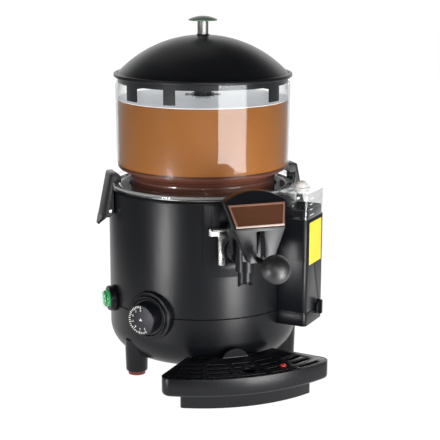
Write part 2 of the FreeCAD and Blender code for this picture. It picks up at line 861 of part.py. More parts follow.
def bain_marie_pan():
    """A pressed steel pan that hangs by its flange, with a tube for the drive shaft up its middle."""
    body = new_body("bain_marie_pan")
    sketch = sketch_on(body, "XZ_Plane")
    inner = pan_radius - pan_wall
    outline(sketch, [
        (pan_tube_inner, pan_floor),
        (pan_radius, pan_floor, 8),
        (pan_radius, shell_top),
        (pan_flange, shell_top),
        (pan_flange, pan_top),
        (inner, pan_top),
        (inner, pan_floor + pan_wall, 7),
        (pan_tube_outer, pan_floor + pan_wall),
        (pan_tube_outer, pan_tube_height),
        (pan_tube_inner, pan_tube_height),
    ])
    revolve(body, sketch)
    radial_hole(body, 0, tap_height, port_radius + port_seal_wall)
    radial_hole(body, box_angle, link_height, link_radius)
    legs = sketch_on(body, "XY_Plane", offset=pan_floor)
    circle(legs, heater_spread, heater_leg_reach, heater_tube)
    circle(legs, -heater_spread, heater_leg_reach, heater_tube)
    pocket(body, legs, pan_wall)
    return part(body)


def heating_element():
    """A tubular element: a ring under the bowl whose two ends drop through the pan's floor."""
    body = new_body("heating_element")
    height = pan_floor + heater_rise
    sketch = sketch_on(body, "YZ_Plane")
    circle(sketch, -heater_ring, height, heater_tube)
    open_angle = chord_angle(heater_spread, heater_ring) * 2
    revolve(body, sketch, angle=360 - open_angle)
    legs = sketch_on(body, "XY_Plane", offset=pan_floor - heater_rise)
    circle(legs, heater_spread, heater_leg_reach, heater_tube)
    circle(legs, -heater_spread, heater_leg_reach, heater_tube)
    pad(body, legs, heater_rise * 2)
    return part(body)


def link_pipe():
    body = new_body("link_pipe")
    sketch = sketch_on(body, "XZ_Plane", offset=pan_radius - pan_wall - 4)
    circle(sketch, 0, link_height, link_radius)
    circle(sketch, 0, link_height, link_radius - 1.2)
    pad(body, sketch, body_radius + box_wall + 6 - pan_radius)
    turned(body, box_angle)
    return part(body)


def motor_bracket():
    """A plate that hangs the motor from two stand-offs under the pan."""
    body = new_body("motor_bracket")
    half = gearbox_width / 2
    reach = standoff_reach + standoff_radius + 3
    sketch = sketch_on(body, "XY_Plane", offset=gearbox_top)
    outline(sketch, [(-reach, -half, 6), (reach, -half, 6), (reach, half, 6), (-reach, half, 6)])
    circle(sketch, 0, 0, shaft_radius * 2)
    pad(body, sketch, bracket_thick)
    posts = sketch_on(body, "XY_Plane", offset=gearbox_top + bracket_thick)
    circle(posts, standoff_reach, 0, standoff_radius)
    circle(posts, -standoff_reach, 0, standoff_radius)
    pad(body, posts, standoff_height)
    return part(body)


def gear_motor():
    body = new_body("gear_motor")
    half = gearbox_width / 2
    box = sketch_on(body, "XY_Plane", offset=gearbox_top - gearbox_height)
    outline(box, [(-half, -half, 8), (half, -half, 8), (half, half, 8), (-half, half, 8)])
    pad(body, box, gearbox_height)
    can = sketch_on(body, "XY_Plane", offset=gearbox_top - gearbox_height - motor_height)
    circle(can, 0, 0, motor_radius)
    pad(body, can, motor_height)
    bore = sketch_on(body, "XY_Plane", offset=gearbox_top)
    circle(bore, 0, 0, shaft_radius + pin_gap)
    pocket(body, bore, gearbox_height / 2, back=True)
    return part(body)


# ---------------------------------------------------------------- bowl

def bowl():
    """One clear moulding: bowl, stepped neck, flange, the cup in the bath, the standpipe and the tap port."""
    body = new_body("bowl")
    sketch = sketch_on(body, "XZ_Plane")
    neck_low = flange_top + 4
    outline(sketch, [
        (standpipe_inner, cup_floor),
        (cup_radius, cup_floor, cup_round),
        (cup_radius, flange_bottom),
        (flange_radius, flange_bottom, 1.2),
        (flange_radius, flange_top - 3.4, 1.2),
        (flange_radius - 3, flange_top - 3.4),
        (flange_radius - 3, flange_top, 1.2),
        (neck_radius, flange_top, 2),
        (neck_radius, neck_low, 2),
        (bowl_radius, bowl_shoulder, bowl_shoulder_round),
        (bowl_radius, bowl_top),
        (bowl_inner, bowl_top),
        (bowl_inner, bowl_shoulder + bowl_wall, bowl_shoulder_round - bowl_wall),
        (neck_radius - bowl_wall, neck_low + bowl_wall, 3),
        (cup_inner, flange_top - 4, 3),
        (cup_inner, cup_floor_top, cup_round - bowl_wall),
        (standpipe_outer, cup_floor_top, 2),
        (standpipe_outer, standpipe_top),
        (standpipe_inner, standpipe_top),
    ])
    revolve(body, sketch)
    start = cup_radius - bowl_wall * 0.6
    port = sketch_on(body, "XZ_Plane", offset=start)
    circle(port, 0, tap_height, port_radius)
    pad(body, port, port_reach - start)
    bore = sketch_on(body, "XZ_Plane", offset=port_reach)
    circle(bore, 0, tap_height, port_bore)
    pocket(body, bore, port_reach - cup_radius + bowl_wall * 3, back=True)
    return part(body)


def bowl_gasket():
    body = new_body("bowl_gasket")
    ring(body, gasket_inner, gasket_outer, pan_top, flange_bottom)
    return part(body)


def port_seal():
    """A grommet round the tap port, with a lip each side of the pan's wall."""
    body = new_body("port_seal")
    outer = port_radius + port_seal_wall
    lip = outer + 3
    inside = root(pan_radius * pan_radius - lip * lip) - pan_wall * 2
    sketch = sketch_on(body, "YZ_Plane")
    outline(sketch, [
        (-inside + 4, port_radius),
        (-inside + 4, lip),
        (-inside, lip),
        (-inside, outer),
        (-pan_radius - fit_gap, outer),
        (-pan_radius - fit_gap, lip),
        (-pan_radius - 3, lip),
        (-pan_radius - 3, port_radius),
    ])
    revolve(body, sketch, axis="H_Axis")
    moved(body, z=tap_height)
    return part(body)


# ---------------------------------------------------------------- stirrer

def drive_shaft():
    body = new_body("drive_shaft")
    low = gearbox_top - gearbox_height / 2 + slide_gap
    sketch = sketch_on(body, "XY_Plane", offset=low)
    circle(sketch, 0, 0, shaft_radius)
    pad(body, sketch, standpipe_top + sleeve_cap - low)
    return part(body)


def stirrer_sleeve():
    """The tube that turns round the standpipe, closed by a cap that the drive shaft turns."""
    body = new_body("stirrer_sleeve")
    inside_top = standpipe_top + 2
    sketch = sketch_on(body, "XZ_Plane")
    outline(sketch, [
        (sleeve_inner, cup_floor_top + sleeve_lift),
        (sleeve_outer, cup_floor_top + sleeve_lift),
        (sleeve_outer, inside_top + sleeve_cap, 3),
        (shaft_radius, inside_top + sleeve_cap),
        (shaft_radius, inside_top),
        (sleeve_inner, inside_top),
    ])
    revolve(body, sketch)
    return part(body)


def stirrer_star():
    """Two rows of thin leaf-shaped blades on a collar, just above the liquid."""
    body = new_body("stirrer_star")
    collar = sleeve_outer + sleeve_wall
    ring(body, sleeve_outer, collar, star_low - star_thick, star_low + star_pitch + star_thick * 2)
    for row in range(2):
        height = star_low + star_pitch * row
        sketch = sketch_on(body, "XY_Plane", offset=height)
        middle = (collar + star_radius) / 2
        outline(sketch, [
            (collar - 0.8, -1.6), (middle, -2.4), (star_radius, 0, 1), (middle, 2.4), (collar - 0.8, 1.6),
        ])
        blade = pad(body, sketch, star_thick)
        polar_pattern(body, [blade], star_count, 360)
    return part(body)


def stirrer_paddle():
    """Two leaning blades that sweep the floor of the cup."""
    body = new_body("stirrer_paddle")
    hub = sleeve_outer + hub_wall
    low = cup_floor_top + sleeve_lift + 2
    ring(body, sleeve_outer, hub, low, low + paddle_height + 2)
    sketch = sketch_on(body, "XZ_Plane", offset=sleeve_outer + hub_wall / 2)
    half = paddle_thick / 2
    outline(sketch, [
        (-half - paddle_lean / 2, low + 1),
        (half - paddle_lean / 2, low + 1),
        (half + paddle_lean / 2, low + 1 + paddle_height),
        (-half + paddle_lean / 2, low + 1 + paddle_height),
    ])
    blade = pad(body, sketch, paddle_reach - sleeve_outer - hub_wall / 2)
    polar_pattern(body, [blade], 2, 180)
    return part(body)


# ---------------------------------------------------------------- lid

def sphere_height(radius, sphere):
    """The height of the lid's sphere at a distance from the axis."""
    return lid_centre + root(sphere * sphere - radius * radius)


def lid_dome():
    """A spherical dome with a flat boss, a rolled rim and a skirt with tabs that hang inside the bowl."""
    body = new_body("lid_dome")
    inner_sphere = lid_sphere - lid_wall
    sketch = sketch_on(body, "XZ_Plane")
    outline(sketch, [
        Corner(stud_tenon, boss_top),
        Corner(boss_radius, boss_top, 1),
        Corner(boss_radius, sphere_height(boss_radius, lid_sphere), bulge=0),
        Corner(lid_land, sphere_height(lid_land, lid_sphere)),
        Corner(lid_land, lid_rim_top),
        Corner(lid_radius, lid_rim_top, 1.6),
        Corner(lid_radius, lid_bottom, 1.2),
        Corner(skirt_outer, lid_bottom),
        Corner(skirt_outer, skirt_bottom),
        Corner(skirt_inner, skirt_bottom),
        Corner(skirt_inner, sphere_height(skirt_inner, inner_sphere), bulge=0),
        Corner(stud_tenon, sphere_height(stud_tenon, inner_sphere)),
    ])
    revolve(body, sketch)
    for angle, width in lid_tabs:
        tab = sketch_on(body, "YZ_Plane", turn=angle)
        outline(tab, [
            (-skirt_outer, skirt_bottom - tab_depth), (-skirt_inner, skirt_bottom - tab_depth),
            (-skirt_inner, skirt_bottom + 1), (-skirt_outer, skirt_bottom + 1),
        ])
        revolve(body, tab, angle=width)
    return part(body)


def lid_stud():
    body = new_body("lid_stud")
    sketch = sketch_on(body, "XZ_Plane")
    low = boss_top - 10
    outline(sketch, [
        (0, low), (stud_tenon, low), (stud_tenon, boss_top), (stud_radius, boss_top),
        (stud_radius, stud_top), (stud_tenon, stud_top), (stud_tenon, stud_top + stud_tip), (0, stud_top + stud_tip),
    ])
    revolve(body, sketch)
    return part(body)


def lid_knob():
    """A mushroom cap on the stud."""
    body = new_body("lid_knob")
    edge = stud_top + knob_edge
    sketch = sketch_on(body, "XZ_Plane")
    outline(sketch, [
        Corner(0, stud_top + stud_tip),
        Corner(stud_tenon, stud_top + stud_tip),
        Corner(stud_tenon, stud_top),
        Corner(knob_radius - 0.8, stud_top, 0.3),
        Corner(knob_radius, stud_top + 0.9, 0.3),
        Corner(knob_radius - 0.9, edge, bulge=0),
        Corner(0, knob_top),
    ])
    revolve(body, sketch)
    return part(body)


# ---------------------------------------------------------------- clips

def clip(label, angle):
    """A lever with a nose over the bowl's flange, hollow behind, and a flared finger tip below its pivot."""
    body = new_body(label)
    nose_low = flange_top + fit_gap
    lug_low = clip_pin_height - clip_lug
    knee = clip_pin_height - clip_knee_drop
    tip = clip_pin_height - clip_tip_drop
    sketch = sketch_on(body, "YZ_Plane")
    outline(sketch, [
        (-clip_nose, nose_low, 0.8),
        (-clip_nose, clip_top - 4, 3),
        (-clip_nose - 4, clip_top, 3),
        (-clip_top_reach, clip_top, 3),
        (-clip_knee_reach, knee, 8),
        (-clip_tip_reach, tip, 0.8),
        (-clip_tip_reach + clip_back, tip - 1, 0.8),
        (-clip_pin_reach - clip_lug_reach, lug_low, 2),
        (-clip_pin_reach - 0.5, lug_low, 1.5),
        (-clip_inner, lug_low + clip_lug * 0.7, 2.5),
        (-clip_inner, nose_low),
    ])
    pad(body, sketch, clip_width, both_ways=True)
    hollow_low = lug_low - 1
    hollow_reach = clip_pin_reach + bracket_eye + fit_gap
    hollow = sketch_on(body, "YZ_Plane")
    outline(hollow, [
        (-clip_inner + 1, nose_low - clip_wall),
        (-clip_top_reach, nose_low - clip_wall, 2),
        (-hollow_reach, clip_pin_height + bracket_eye, 6),
        (-hollow_reach, hollow_low),
        (-clip_inner + 1, hollow_low),
    ])
    pocket(body, hollow, clip_width - clip_wall * 2, both_ways=True)
    half = clip_width / 2
    corner = sketch_on(body, "XZ_Plane", offset=clip_pin_reach + 1)
    outline(corner, [
        (half + 1, lug_low - 0.5), (half + 1, tip - 3), (clip_tip_half, tip - 3), (clip_tip_half, tip + 1),
    ])
    side = pocket(body, corner, clip_tip_reach)
    mirror(body, [side])
    eye = sketch_on(body, "YZ_Plane")
    circle(eye, -clip_pin_reach, clip_pin_height, clip_pin_radius + pin_gap)
    pocket(body, eye, clip_width + 2, both_ways=True)
    turned(body, angle)
    return part(body)


def clip_bracket(label, angle):
    """A lug on the shell that carries a clip's pin."""
    body = new_body(label)
    eye = bracket_eye
    sketch = sketch_on(body, "YZ_Plane")
    outline(sketch, [
        (-body_radius + 4, clip_pin_height - eye),
        (-clip_pin_reach - eye, clip_pin_height - eye, eye - 0.05),
        (-clip_pin_reach - eye, clip_pin_height + eye, eye - 0.05),
        (-body_radius + 4, clip_pin_height + eye),
    ])
    pad(body, sketch, clip_width - clip_wall * 2 - fit_gap * 2, both_ways=True)
    hole = sketch_on(body, "YZ_Plane")
    circle(hole, -clip_pin_reach, clip_pin_height, clip_pin_radius)
    pocket(body, hole, clip_width, both_ways=True)
    ring(body, 0, body_radius, clip_pin_height - eye * 2, clip_pin_height + eye * 2, cut=True)
    turned(body, angle)
    return part(body)


def clip_pin(label, angle):
    body = new_body(label)
    sketch = sketch_on(body, "YZ_Plane")
    circle(sketch, -clip_pin_reach, clip_pin_height, clip_pin_radius)
    pad(body, sketch, clip_width + 1, both_ways=True)
    turned(body, angle)
    return part(body)


# ---------------------------------------------------------------- thermostat and its dial

def dial_bezel():
    """A stepped boss on the housing, hollowed to take the dial's skirt."""
    body = new_body("dial_bezel")
    sketch = sketch_on(body, "YZ_Plane")
    recess = skirt_radius + slide_gap
    outline(sketch, [
        (-body_radius + 16, bush_radius),
        (-body_radius + 16, bezel_radius),
        (-bezel_front, bezel_radius, 1),
        (-bezel_front, bezel_step_radius),
        (-bezel_front - bezel_step, bezel_step_radius, 1),
        (-bezel_front - bezel_step, recess),
        (-bezel_front, recess),
        (-bezel_front, bush_radius),
    ])
    revolve(body, sketch, axis="H_Axis")
    moved(body, z=dial_height)
    shell = sketch_on(body, "XZ_Plane")
    outline(shell, [(0, -bezel_radius * 2), (body_radius, -bezel_radius * 2),
                    (body_radius, bezel_radius * 2), (0, bezel_radius * 2)])
    groove(body, shell)
    body.Placement.Rotation = Rotation(UP, dial_angle.number)
    body.setExpression("Placement.Rotation.Angle", dial_angle.text)
    return part(body)


def dial_piece(label, profile):
    """A piece turned about the dial's axis, placed at the dial."""
    body = new_body(label)
    sketch = sketch_on(body, "YZ_Plane")
    outline(sketch, profile)
    revolve(body, sketch, axis="H_Axis")
    moved(body, z=dial_height)
    body.Placement.Rotation = Rotation(UP, dial_angle.number)
    body.setExpression("Placement.Rotation.Angle", dial_angle.text)
    return part(body)


def dial_knob():
    back = bezel_front + slide_gap
    face = back + dial_skirt
    return dial_piece("dial_knob", [
        (-dial_front + 4, 0), (-dial_front + 4, spindle_radius), (-back, spindle_radius),
        (-back, skirt_radius), (-face, skirt_radius, 1), (-face, dial_radius),
        (-dial_front, dial_radius - 0.6, 1.2), (-dial_front, 0),
    ])


def dial_spindle():
    low = thermostat_front - thermostat_depth / 2
    return dial_piece("dial_spindle", [
        (-dial_front + 4, 0), (-dial_front + 4, spindle_radius), (-low, spindle_radius), (-low, 0),
    ])


def thermostat_body():
    """A square body with a threaded bush that clamps the bezel."""
    body = new_body("thermostat_body")
    half = thermostat_width / 2
    sketch = sketch_on(body, "XZ_Plane", offset=thermostat_front - thermostat_depth)
    outline(sketch, [(-half, -half, 3), (half, -half, 3), (half, half, 3), (-half, half, 3)])
    pad(body, sketch, thermostat_depth)
    bush = sketch_on(body, "XZ_Plane", offset=thermostat_front)
    circle(bush, 0, 0, bush_radius)
    pad(body, bush, bezel_front - thermostat_front)
    bore = sketch_on(body, "XZ_Plane", offset=bezel_front)
    circle(bore, 0, 0, spindle_radius + pin_gap)
    pocket(body, bore, bezel_front - thermostat_front + thermostat_depth / 2 + slide_gap, back=True)
    moved(body, z=dial_height)
    body.Placement.Rotation = Rotation(UP, dial_angle.number)
    body.setExpression("Placement.Rotation.Angle", dial_angle.text)
    return part(body)


# ---------------------------------------------------------------- power switch

def switch_piece(label, profile):
    """A piece turned about the switch's axis, placed at the switch."""
    body = new_body(label)
    sketch = sketch_on(body, "YZ_Plane")
    outline(sketch, profile)
    revolve(body, sketch, axis="H_Axis")
    moved(body, z=switch_height)
    body.Placement.Rotation = Rotation(UP, switch_angle.number)
    body.setExpression("Placement.Rotation.Angle", switch_angle.text)
    return body


def switch_bezel():
    """A flange against the shell with a neck through it; the button slides in its bore."""
    bore = button_radius + fit_gap
    flat = body_radius + 0.1
    body = switch_piece("switch_bezel", [
        (-switch_back, bore), (-switch_back, switch_neck), (-flat, switch_neck),
        (-flat, switch_flange), (-switch_front, switch_flange - 1, 1.5), (-switch_front, bore),
    ])
    return part(body)


def switch_body():
    body = new_body("switch_body")
    half = switch_neck * 0.95
    sketch = sketch_on(body, "XZ_Plane", offset=switch_back - 20)
    outline(sketch, [(-half, -half, 2), (half, -half, 2), (half, half, 2), (-half, half, 2)])
    pad(body, sketch, 20)
    moved(body, z=switch_height)
    body.Placement.Rotation = Rotation(UP, switch_angle.number)
    body.setExpression("Placement.Rotation.Angle", switch_angle.text)
    return part(body)


def switch_button():
    """The green lens, with a stem that reaches back to the switch."""
    lens = button_radius - button_cap_wall
    stem_end = switch_back + button_travel + slide_gap
    back = switch_back + 10
    front = button_front - button_cap_wall - 2
    body = switch_piece("switch_button", [
        (-stem_end, 0), (-stem_end, 3), (-back, 3), (-back, lens), (-front, lens, 2), (-front, 0),
    ])
    return part(body)


def switch_cap():
    """A clear dome over the lens."""
    lens = button_radius - button_cap_wall
    back = switch_back + 10
    front = button_front - button_cap_wall - 2
    body = switch_piece("switch_cap", [
        (-back, lens), (-back, button_radius), (-button_front, button_radius, 4.5), (-button_front, 0),
        (-front, 0), (-front, lens, 2),
    ])
    return part(body)


# ---------------------------------------------------------------- tap

def tap_body():
    """Spigot, collar, barrel, upright chamber and spout in one moulding, drawn from the tap's axis."""
    body = new_body("tap_body")
    collar = tap_collar_back + tap_collar_thick
    shoulder = collar + tap_groove_width
    barrel = shoulder + tap_shoulder_thick
    barrel_end = spout_reach - chamber_bore
    spigot = port_bore - pin_gap
    sketch = sketch_on(body, "YZ_Plane")
    outline(sketch, [
        (-tap_inner_end, 0), (-tap_inner_end, spigot, 1), (-tap_collar_back, spigot),
        (-tap_collar_back, tap_collar), (-collar, tap_collar, 1), (-collar, tap_groove),
        (-shoulder, tap_groove), (-shoulder, tap_shoulder, 0.8), (-barrel, tap_shoulder, 0.8),
        (-barrel, tap_barrel), (-barrel_end, tap_barrel, 1.5), (-barrel_end, 0),
    ])
    revolve(body, sketch, axis="H_Axis")
    chamber = sketch_on(body, "XY_Plane", offset=chamber_bottom)
    circle(chamber, 0, -spout_reach, chamber_radius)
    pad(body, chamber, chamber_top - chamber_bottom)
    spout = sketch_on(body, "XY_Plane", offset=spout_mouth)
    circle(spout, 0, -spout_reach, spout_radius)
    pad(body, spout, chamber_bottom - spout_mouth)
    cheek = sketch_on(body, "YZ_Plane", offset=cheek_inner)
    outline(cheek, [
        (-pivot_reach + 8, 2), (-pivot_reach + 5, pivot_rise + 5, 4), (-pivot_reach - 5, pivot_rise + 5, 4),
        (-pivot_reach - 8, 2),
    ])
    side = pad(body, cheek, cheek_thick)
    mirror(body, [side])
    bore = sketch_on(body, "XZ_Plane", offset=tap_inner_end)
    circle(bore, 0, 0, tap_bore)
    pocket(body, bore, spout_reach - tap_inner_end)
    well = sketch_on(body, "XY_Plane", offset=chamber_top)
    circle(well, 0, -spout_reach, chamber_bore)
    pocket(body, well, chamber_top - seat_height, back=True)
    outlet = sketch_on(body, "XY_Plane", offset=seat_height)
    circle(outlet, 0, -spout_reach, spout_bore)
    pocket(body, outlet, seat_height - spout_mouth, back=True)
    bevel = sketch_on(body, "YZ_Plane")
    outline(bevel, [
        (-spout_reach + mouth_bevel * 0.3, spout_mouth - 1), (-spout_reach - spout_radius - 1, spout_mouth - 1),
        (-spout_reach - spout_radius - 1, spout_mouth + mouth_bevel),
    ])
    pocket(body, bevel, spout_radius * 3, both_ways=True)
    hole = sketch_on(body, "YZ_Plane")
    circle(hole, -pivot_reach, pivot_rise, pivot_radius)
    pocket(body, hole, chamber_radius * 4, both_ways=True)
    moved(body, z=tap_height)
    return part(body)


def spout_piece(label, profile):
    """A piece turned about the spout's upright axis."""
    body = new_body(label)
    sketch = sketch_on(body, "XZ_Plane")
    outline(sketch, profile)
    revolve(body, sketch)
    moved(body, y=-spout_reach, z=tap_height)
    return part(body)


def valve_cap():
    hole = rod_radius + pin_gap
    plug = chamber_bore - pin_gap
    return spout_piece("valve_cap", [
        (hole, chamber_top - cap_plug), (plug, chamber_top - cap_plug), (plug, chamber_top),
        (chamber_radius, chamber_top), (chamber_radius, chamber_top + cap_thick, 0.8),
        (hole, chamber_top + cap_thick),
    ])


def valve_plunger():
    """The valve's head, its guide and the spool that the lever's trunnions lift."""
    head_low = seat_height + fit_gap + valve_seal_thick
    head_top = head_low + valve_head_thick
    guide_top = valve_guide_low + valve_guide_thick
    guide = chamber_bore - fit_gap
    groove_half = trunnion_radius + trunnion_gap
    return spout_piece("valve_plunger", [
        (0, head_low), (valve_head, head_low), (valve_head, head_top, 1), (rod_radius, head_top),
        (rod_radius, valve_guide_low), (guide, valve_guide_low), (guide, guide_top), (rod_radius, guide_top),
        (rod_radius, pivot_rise - groove_half - spool_wall), (spool_radius, pivot_rise - groove_half - spool_wall),
        (spool_radius, pivot_rise - groove_half), (rod_radius, pivot_rise - groove_half),
        (rod_radius, pivot_rise + groove_half), (spool_radius, pivot_rise + groove_half),
        (spool_radius, pivot_rise + groove_half + spool_wall), (0, pivot_rise + groove_half + spool_wall),
    ])


def valve_seal():
    """A soft washer under the valve's head, with a coned edge."""
    low = seat_height + fit_gap
    return spout_piece("valve_seal", [
        (0, low), (valve_head - 1.2, low), (valve_head, low + 1.5), (valve_head, low + valve_seal_thick),
        (0, low + valve_seal_thick),
    ])


def lever_pin():
    body = new_body("lever_pin")
    sketch = sketch_on(body, "YZ_Plane")
    circle(sketch, -pivot_reach, pivot_rise, pivot_radius)
    pad(body, sketch, (rib_inner + rib_thick) * 2, both_ways=True)
    moved(body, z=tap_height)
    return part(body)


def tap_lever():
    """Two arms on the pin, trunnions in the plunger's spool, a web in front and the rod to the ball."""
    body = new_body("tap_lever")
    half = lever_height / 2
    back = pivot_reach - half
    inside = lever_front - lever_web
    arm = sketch_on(body, "YZ_Plane", offset=lever_inner)
    outline(arm, [
        (-back, pivot_rise - half, half - 0.1), (-back, pivot_rise + half, half - 0.1),
        (-lever_front, pivot_rise + half, 3), (-lever_front, lever_drop, 2),
        (-inside, lever_drop), (-inside, pivot_rise - half, 2),
    ])
    side = pad(body, arm, lever_arm)
    mirror(body, [side])
    web = sketch_on(body, "XZ_Plane", offset=inside)
    reach = lever_inner + lever_arm
    outline(web, [(-reach, lever_drop, 2), (reach, lever_drop, 2),
                  (reach, lever_drop + lever_web_height), (-reach, lever_drop + lever_web_height)])
    pad(body, web, lever_web)
    stub = sketch_on(body, "YZ_Plane", offset=rod_radius + fit_gap * 2)
    circle(stub, -spout_reach, pivot_rise, trunnion_radius)
    trunnion = pad(body, stub, lever_inner - rod_radius)
    mirror(body, [trunnion])
    near = sketch_on(body, "XZ_Plane", offset=inside + 1)
    circle(near, 0, lever_rod_rise, lever_rod)
    far = sketch_on(body, "XZ_Plane", offset=ball_reach - ball_flat)
    circle(far, 0, ball_rise, lever_rod)
    rod = feature(body, "AdditiveLoft", near, Ruled=True)
    rod.Sections = [far]
    far.Visibility = False
    eye = sketch_on(body, "YZ_Plane")
    circle(eye, -pivot_reach, pivot_rise, pivot_radius + pin_gap)
    pocket(body, eye, reach * 3, both_ways=True)
    moved(body, z=tap_height)
    return part(body)


def ball_knob():
    """A ball with a flat where it meets the rod."""
    body = new_body("ball_knob")
    flat = root(ball_radius * ball_radius - ball_flat * ball_flat)
    sketch = sketch_on(body, "YZ_Plane")
    side = root(ball_radius * ball_radius - 1)
    outline(sketch, [
        Corner(ball_flat, 0),
        Corner(ball_flat, flat, bulge=0),
        Corner(1, side, bulge=0),
        Corner(-ball_radius, 0),
    ])
    revolve(body, sketch, axis="H_Axis")
    moved(body, y=-ball_reach, z=tap_height + ball_rise)
    return part(body)


def tap_fork():
    """A steel fork in the tap's groove, with a lip to pull it up by."""
    body = new_body("tap_fork")
    start = tap_collar_back + tap_collar_thick + (tap_groove_width - fork_thick) / 2
    outer = fork_inner + fork_leg
    sketch = sketch_on(body, "XZ_Plane", offset=start)
    outline(sketch, [
        (-outer, -fork_foot, 3), (-fork_inner, -fork_foot, 2), (-fork_inner, fork_inner, fork_inner - 0.1),
        (fork_inner, fork_inner, fork_inner - 0.1), (fork_inner, -fork_foot, 2), (outer, -fork_foot, 3),
        (outer, fork_bar_low, 4), (fork_half_width, fork_bar_low, 2), (fork_half_width, fork_bar_high, 2),
        (-fork_half_width, fork_bar_high, 2), (-fork_half_width, fork_bar_low, 2), (-outer, fork_bar_low, 4),
    ])
    pad(body, sketch, fork_thick)
    lip = sketch_on(body, "XZ_Plane", offset=start)
    low = fork_bar_high - fork_thick
    outline(lip, [(-fork_half_width + 2, low), (fork_half_width - 2, low),
                  (fork_half_width - 2, fork_bar_high), (-fork_half_width + 2, fork_bar_high)])
    pad(body, lip, fork_lip)
    moved(body, z=tap_height)
    return part(body)


def shield_block(label, reach_in, inset):
    """The shield's bent band cut to its front outline; the same form, smaller, is its hollow."""
    body = new_body(label)
    points = [
        (shield_top_reach, shield_top), (label_top_reach, label_top),
        (label_bottom_reach, label_bottom), (shield_bottom_reach, shield_bottom - shield_wall * 2),
    ]
    depth = shield_depth + reach_in
    front = [(-reach + reach_in, height) for reach, height in points]
    rear = [(-reach + reach_in + depth, height) for reach, height in reversed(points)]
    sketch = sketch_on(body, "YZ_Plane")
    outline(sketch, front + rear)
    pad(body, sketch, shield_half_top * 2.4, both_ways=True)
    frame = sketch_on(body, "XZ_Plane", offset=spout_reach - spout_radius)
    side, tall = shield_half_top * 2, shield_top + 20
    outline(frame, [(-side, shield_bottom - 20), (side, shield_bottom - 20), (side, tall), (-side, tall)])
    outline(frame, [
        (-shield_half_bottom + inset, shield_bottom + inset, 3), (shield_half_bottom - inset, shield_bottom + inset, 3),
        (shield_half_middle - inset, label_bottom, 30), (shield_half_top - inset, shield_shoulder, 4),
        (0, shield_top - inset, shield_arch - inset),
        (-shield_half_top + inset, shield_shoulder, 4), (-shield_half_middle + inset, label_bottom, 30),
    ])
    pocket(body, frame, shield_bottom_reach)
    return body


def face_reach(height):
    """How far the shield's leaning face stands out at a height between its two bends."""
    slope = (label_bottom_reach - label_top_reach) / (label_top - label_bottom)
    return label_bottom_reach - (height - label_bottom) * slope


def shield_ribs():
    """Two ribs that carry the shield on the ends of the lever's pin."""
    body = new_body("shield_ribs")
    pin_height = tap_height + pivot_rise
    rib_top = label_top - 8
    sketch = sketch_on(body, "YZ_Plane", offset=rib_inner)
    outline(sketch, [
        (-pivot_reach + rib_end, pin_height - rib_end, 4),
        (-pivot_reach + rib_end, pin_height + rib_end, 4),
        (-face_reach(rib_top) + shield_wall / 2, rib_top),
        (-label_bottom_reach + shield_wall / 2, label_bottom),
        (-shield_bottom_reach + shield_wall, pin_height - rib_end),
    ])
    side = pad(body, sketch, rib_thick)
    mirror(body, [side])
    hole = sketch_on(body, "YZ_Plane")
    circle(hole, -pivot_reach, pin_height, pivot_radius)
    pocket(body, hole, rib_inner * 4, both_ways=True)
    return body


def tap_shield():
    outer = shield_block("shield_outer", as_size(0), as_size(0))
    slot = sketch_on(outer, "XZ_Plane", offset=spout_reach)
    half = slot_width / 2
    outline(slot, [(-half, shield_bottom - 10), (half, shield_bottom - 10), (half, slot_top, 2), (-half, slot_top, 2)])
    pocket(outer, slot, shield_bottom_reach)
    hollow = shield_block("shield_hollow", shield_wall, shield_wall)
    shell = doc.addObject("Part::Cut", "shield_shell")
    shell.Base = outer
    shell.Tool = hollow
    fused = doc.addObject("Part::Fuse", "tap_shield")
    fused.Base = shell
    fused.Tool = shield_ribs()
    return part(fused, "tap_shield")


def badge_plate():
    """A bare raised panel on the leaning face of the shield."""
    body = new_body("badge_plate")
    lean = slope_angle(label_bottom_reach - label_top_reach, label_top - label_bottom)
    half = badge_height / 2
    sketch = sketch_on(body, "XZ_Plane")
    outline(sketch, [
        (-badge_bottom_half, -half, 2), (badge_bottom_half, -half, 2),
        (badge_top_half, half, 2), (-badge_top_half, half, 2),
    ])
    pad(body, sketch, badge_thick)
    body.Placement = Placement(Vector(), Rotation(Vector(-1, 0, 0), lean.number))
    body.setExpression("Placement.Rotation.Angle", lean.text)
    moved(body, y=-(label_top_reach + label_bottom_reach) / 2, z=(label_top + label_bottom) / 2)
    return part(body)


# ---------------------------------------------------------------- water box

def box_outline(sketch, half, front, rounding):
    outline(sketch, [(-half, -body_radius + 12), (-half, -front, rounding), (half, -front, rounding),
                     (half, -body_radius + 12)])


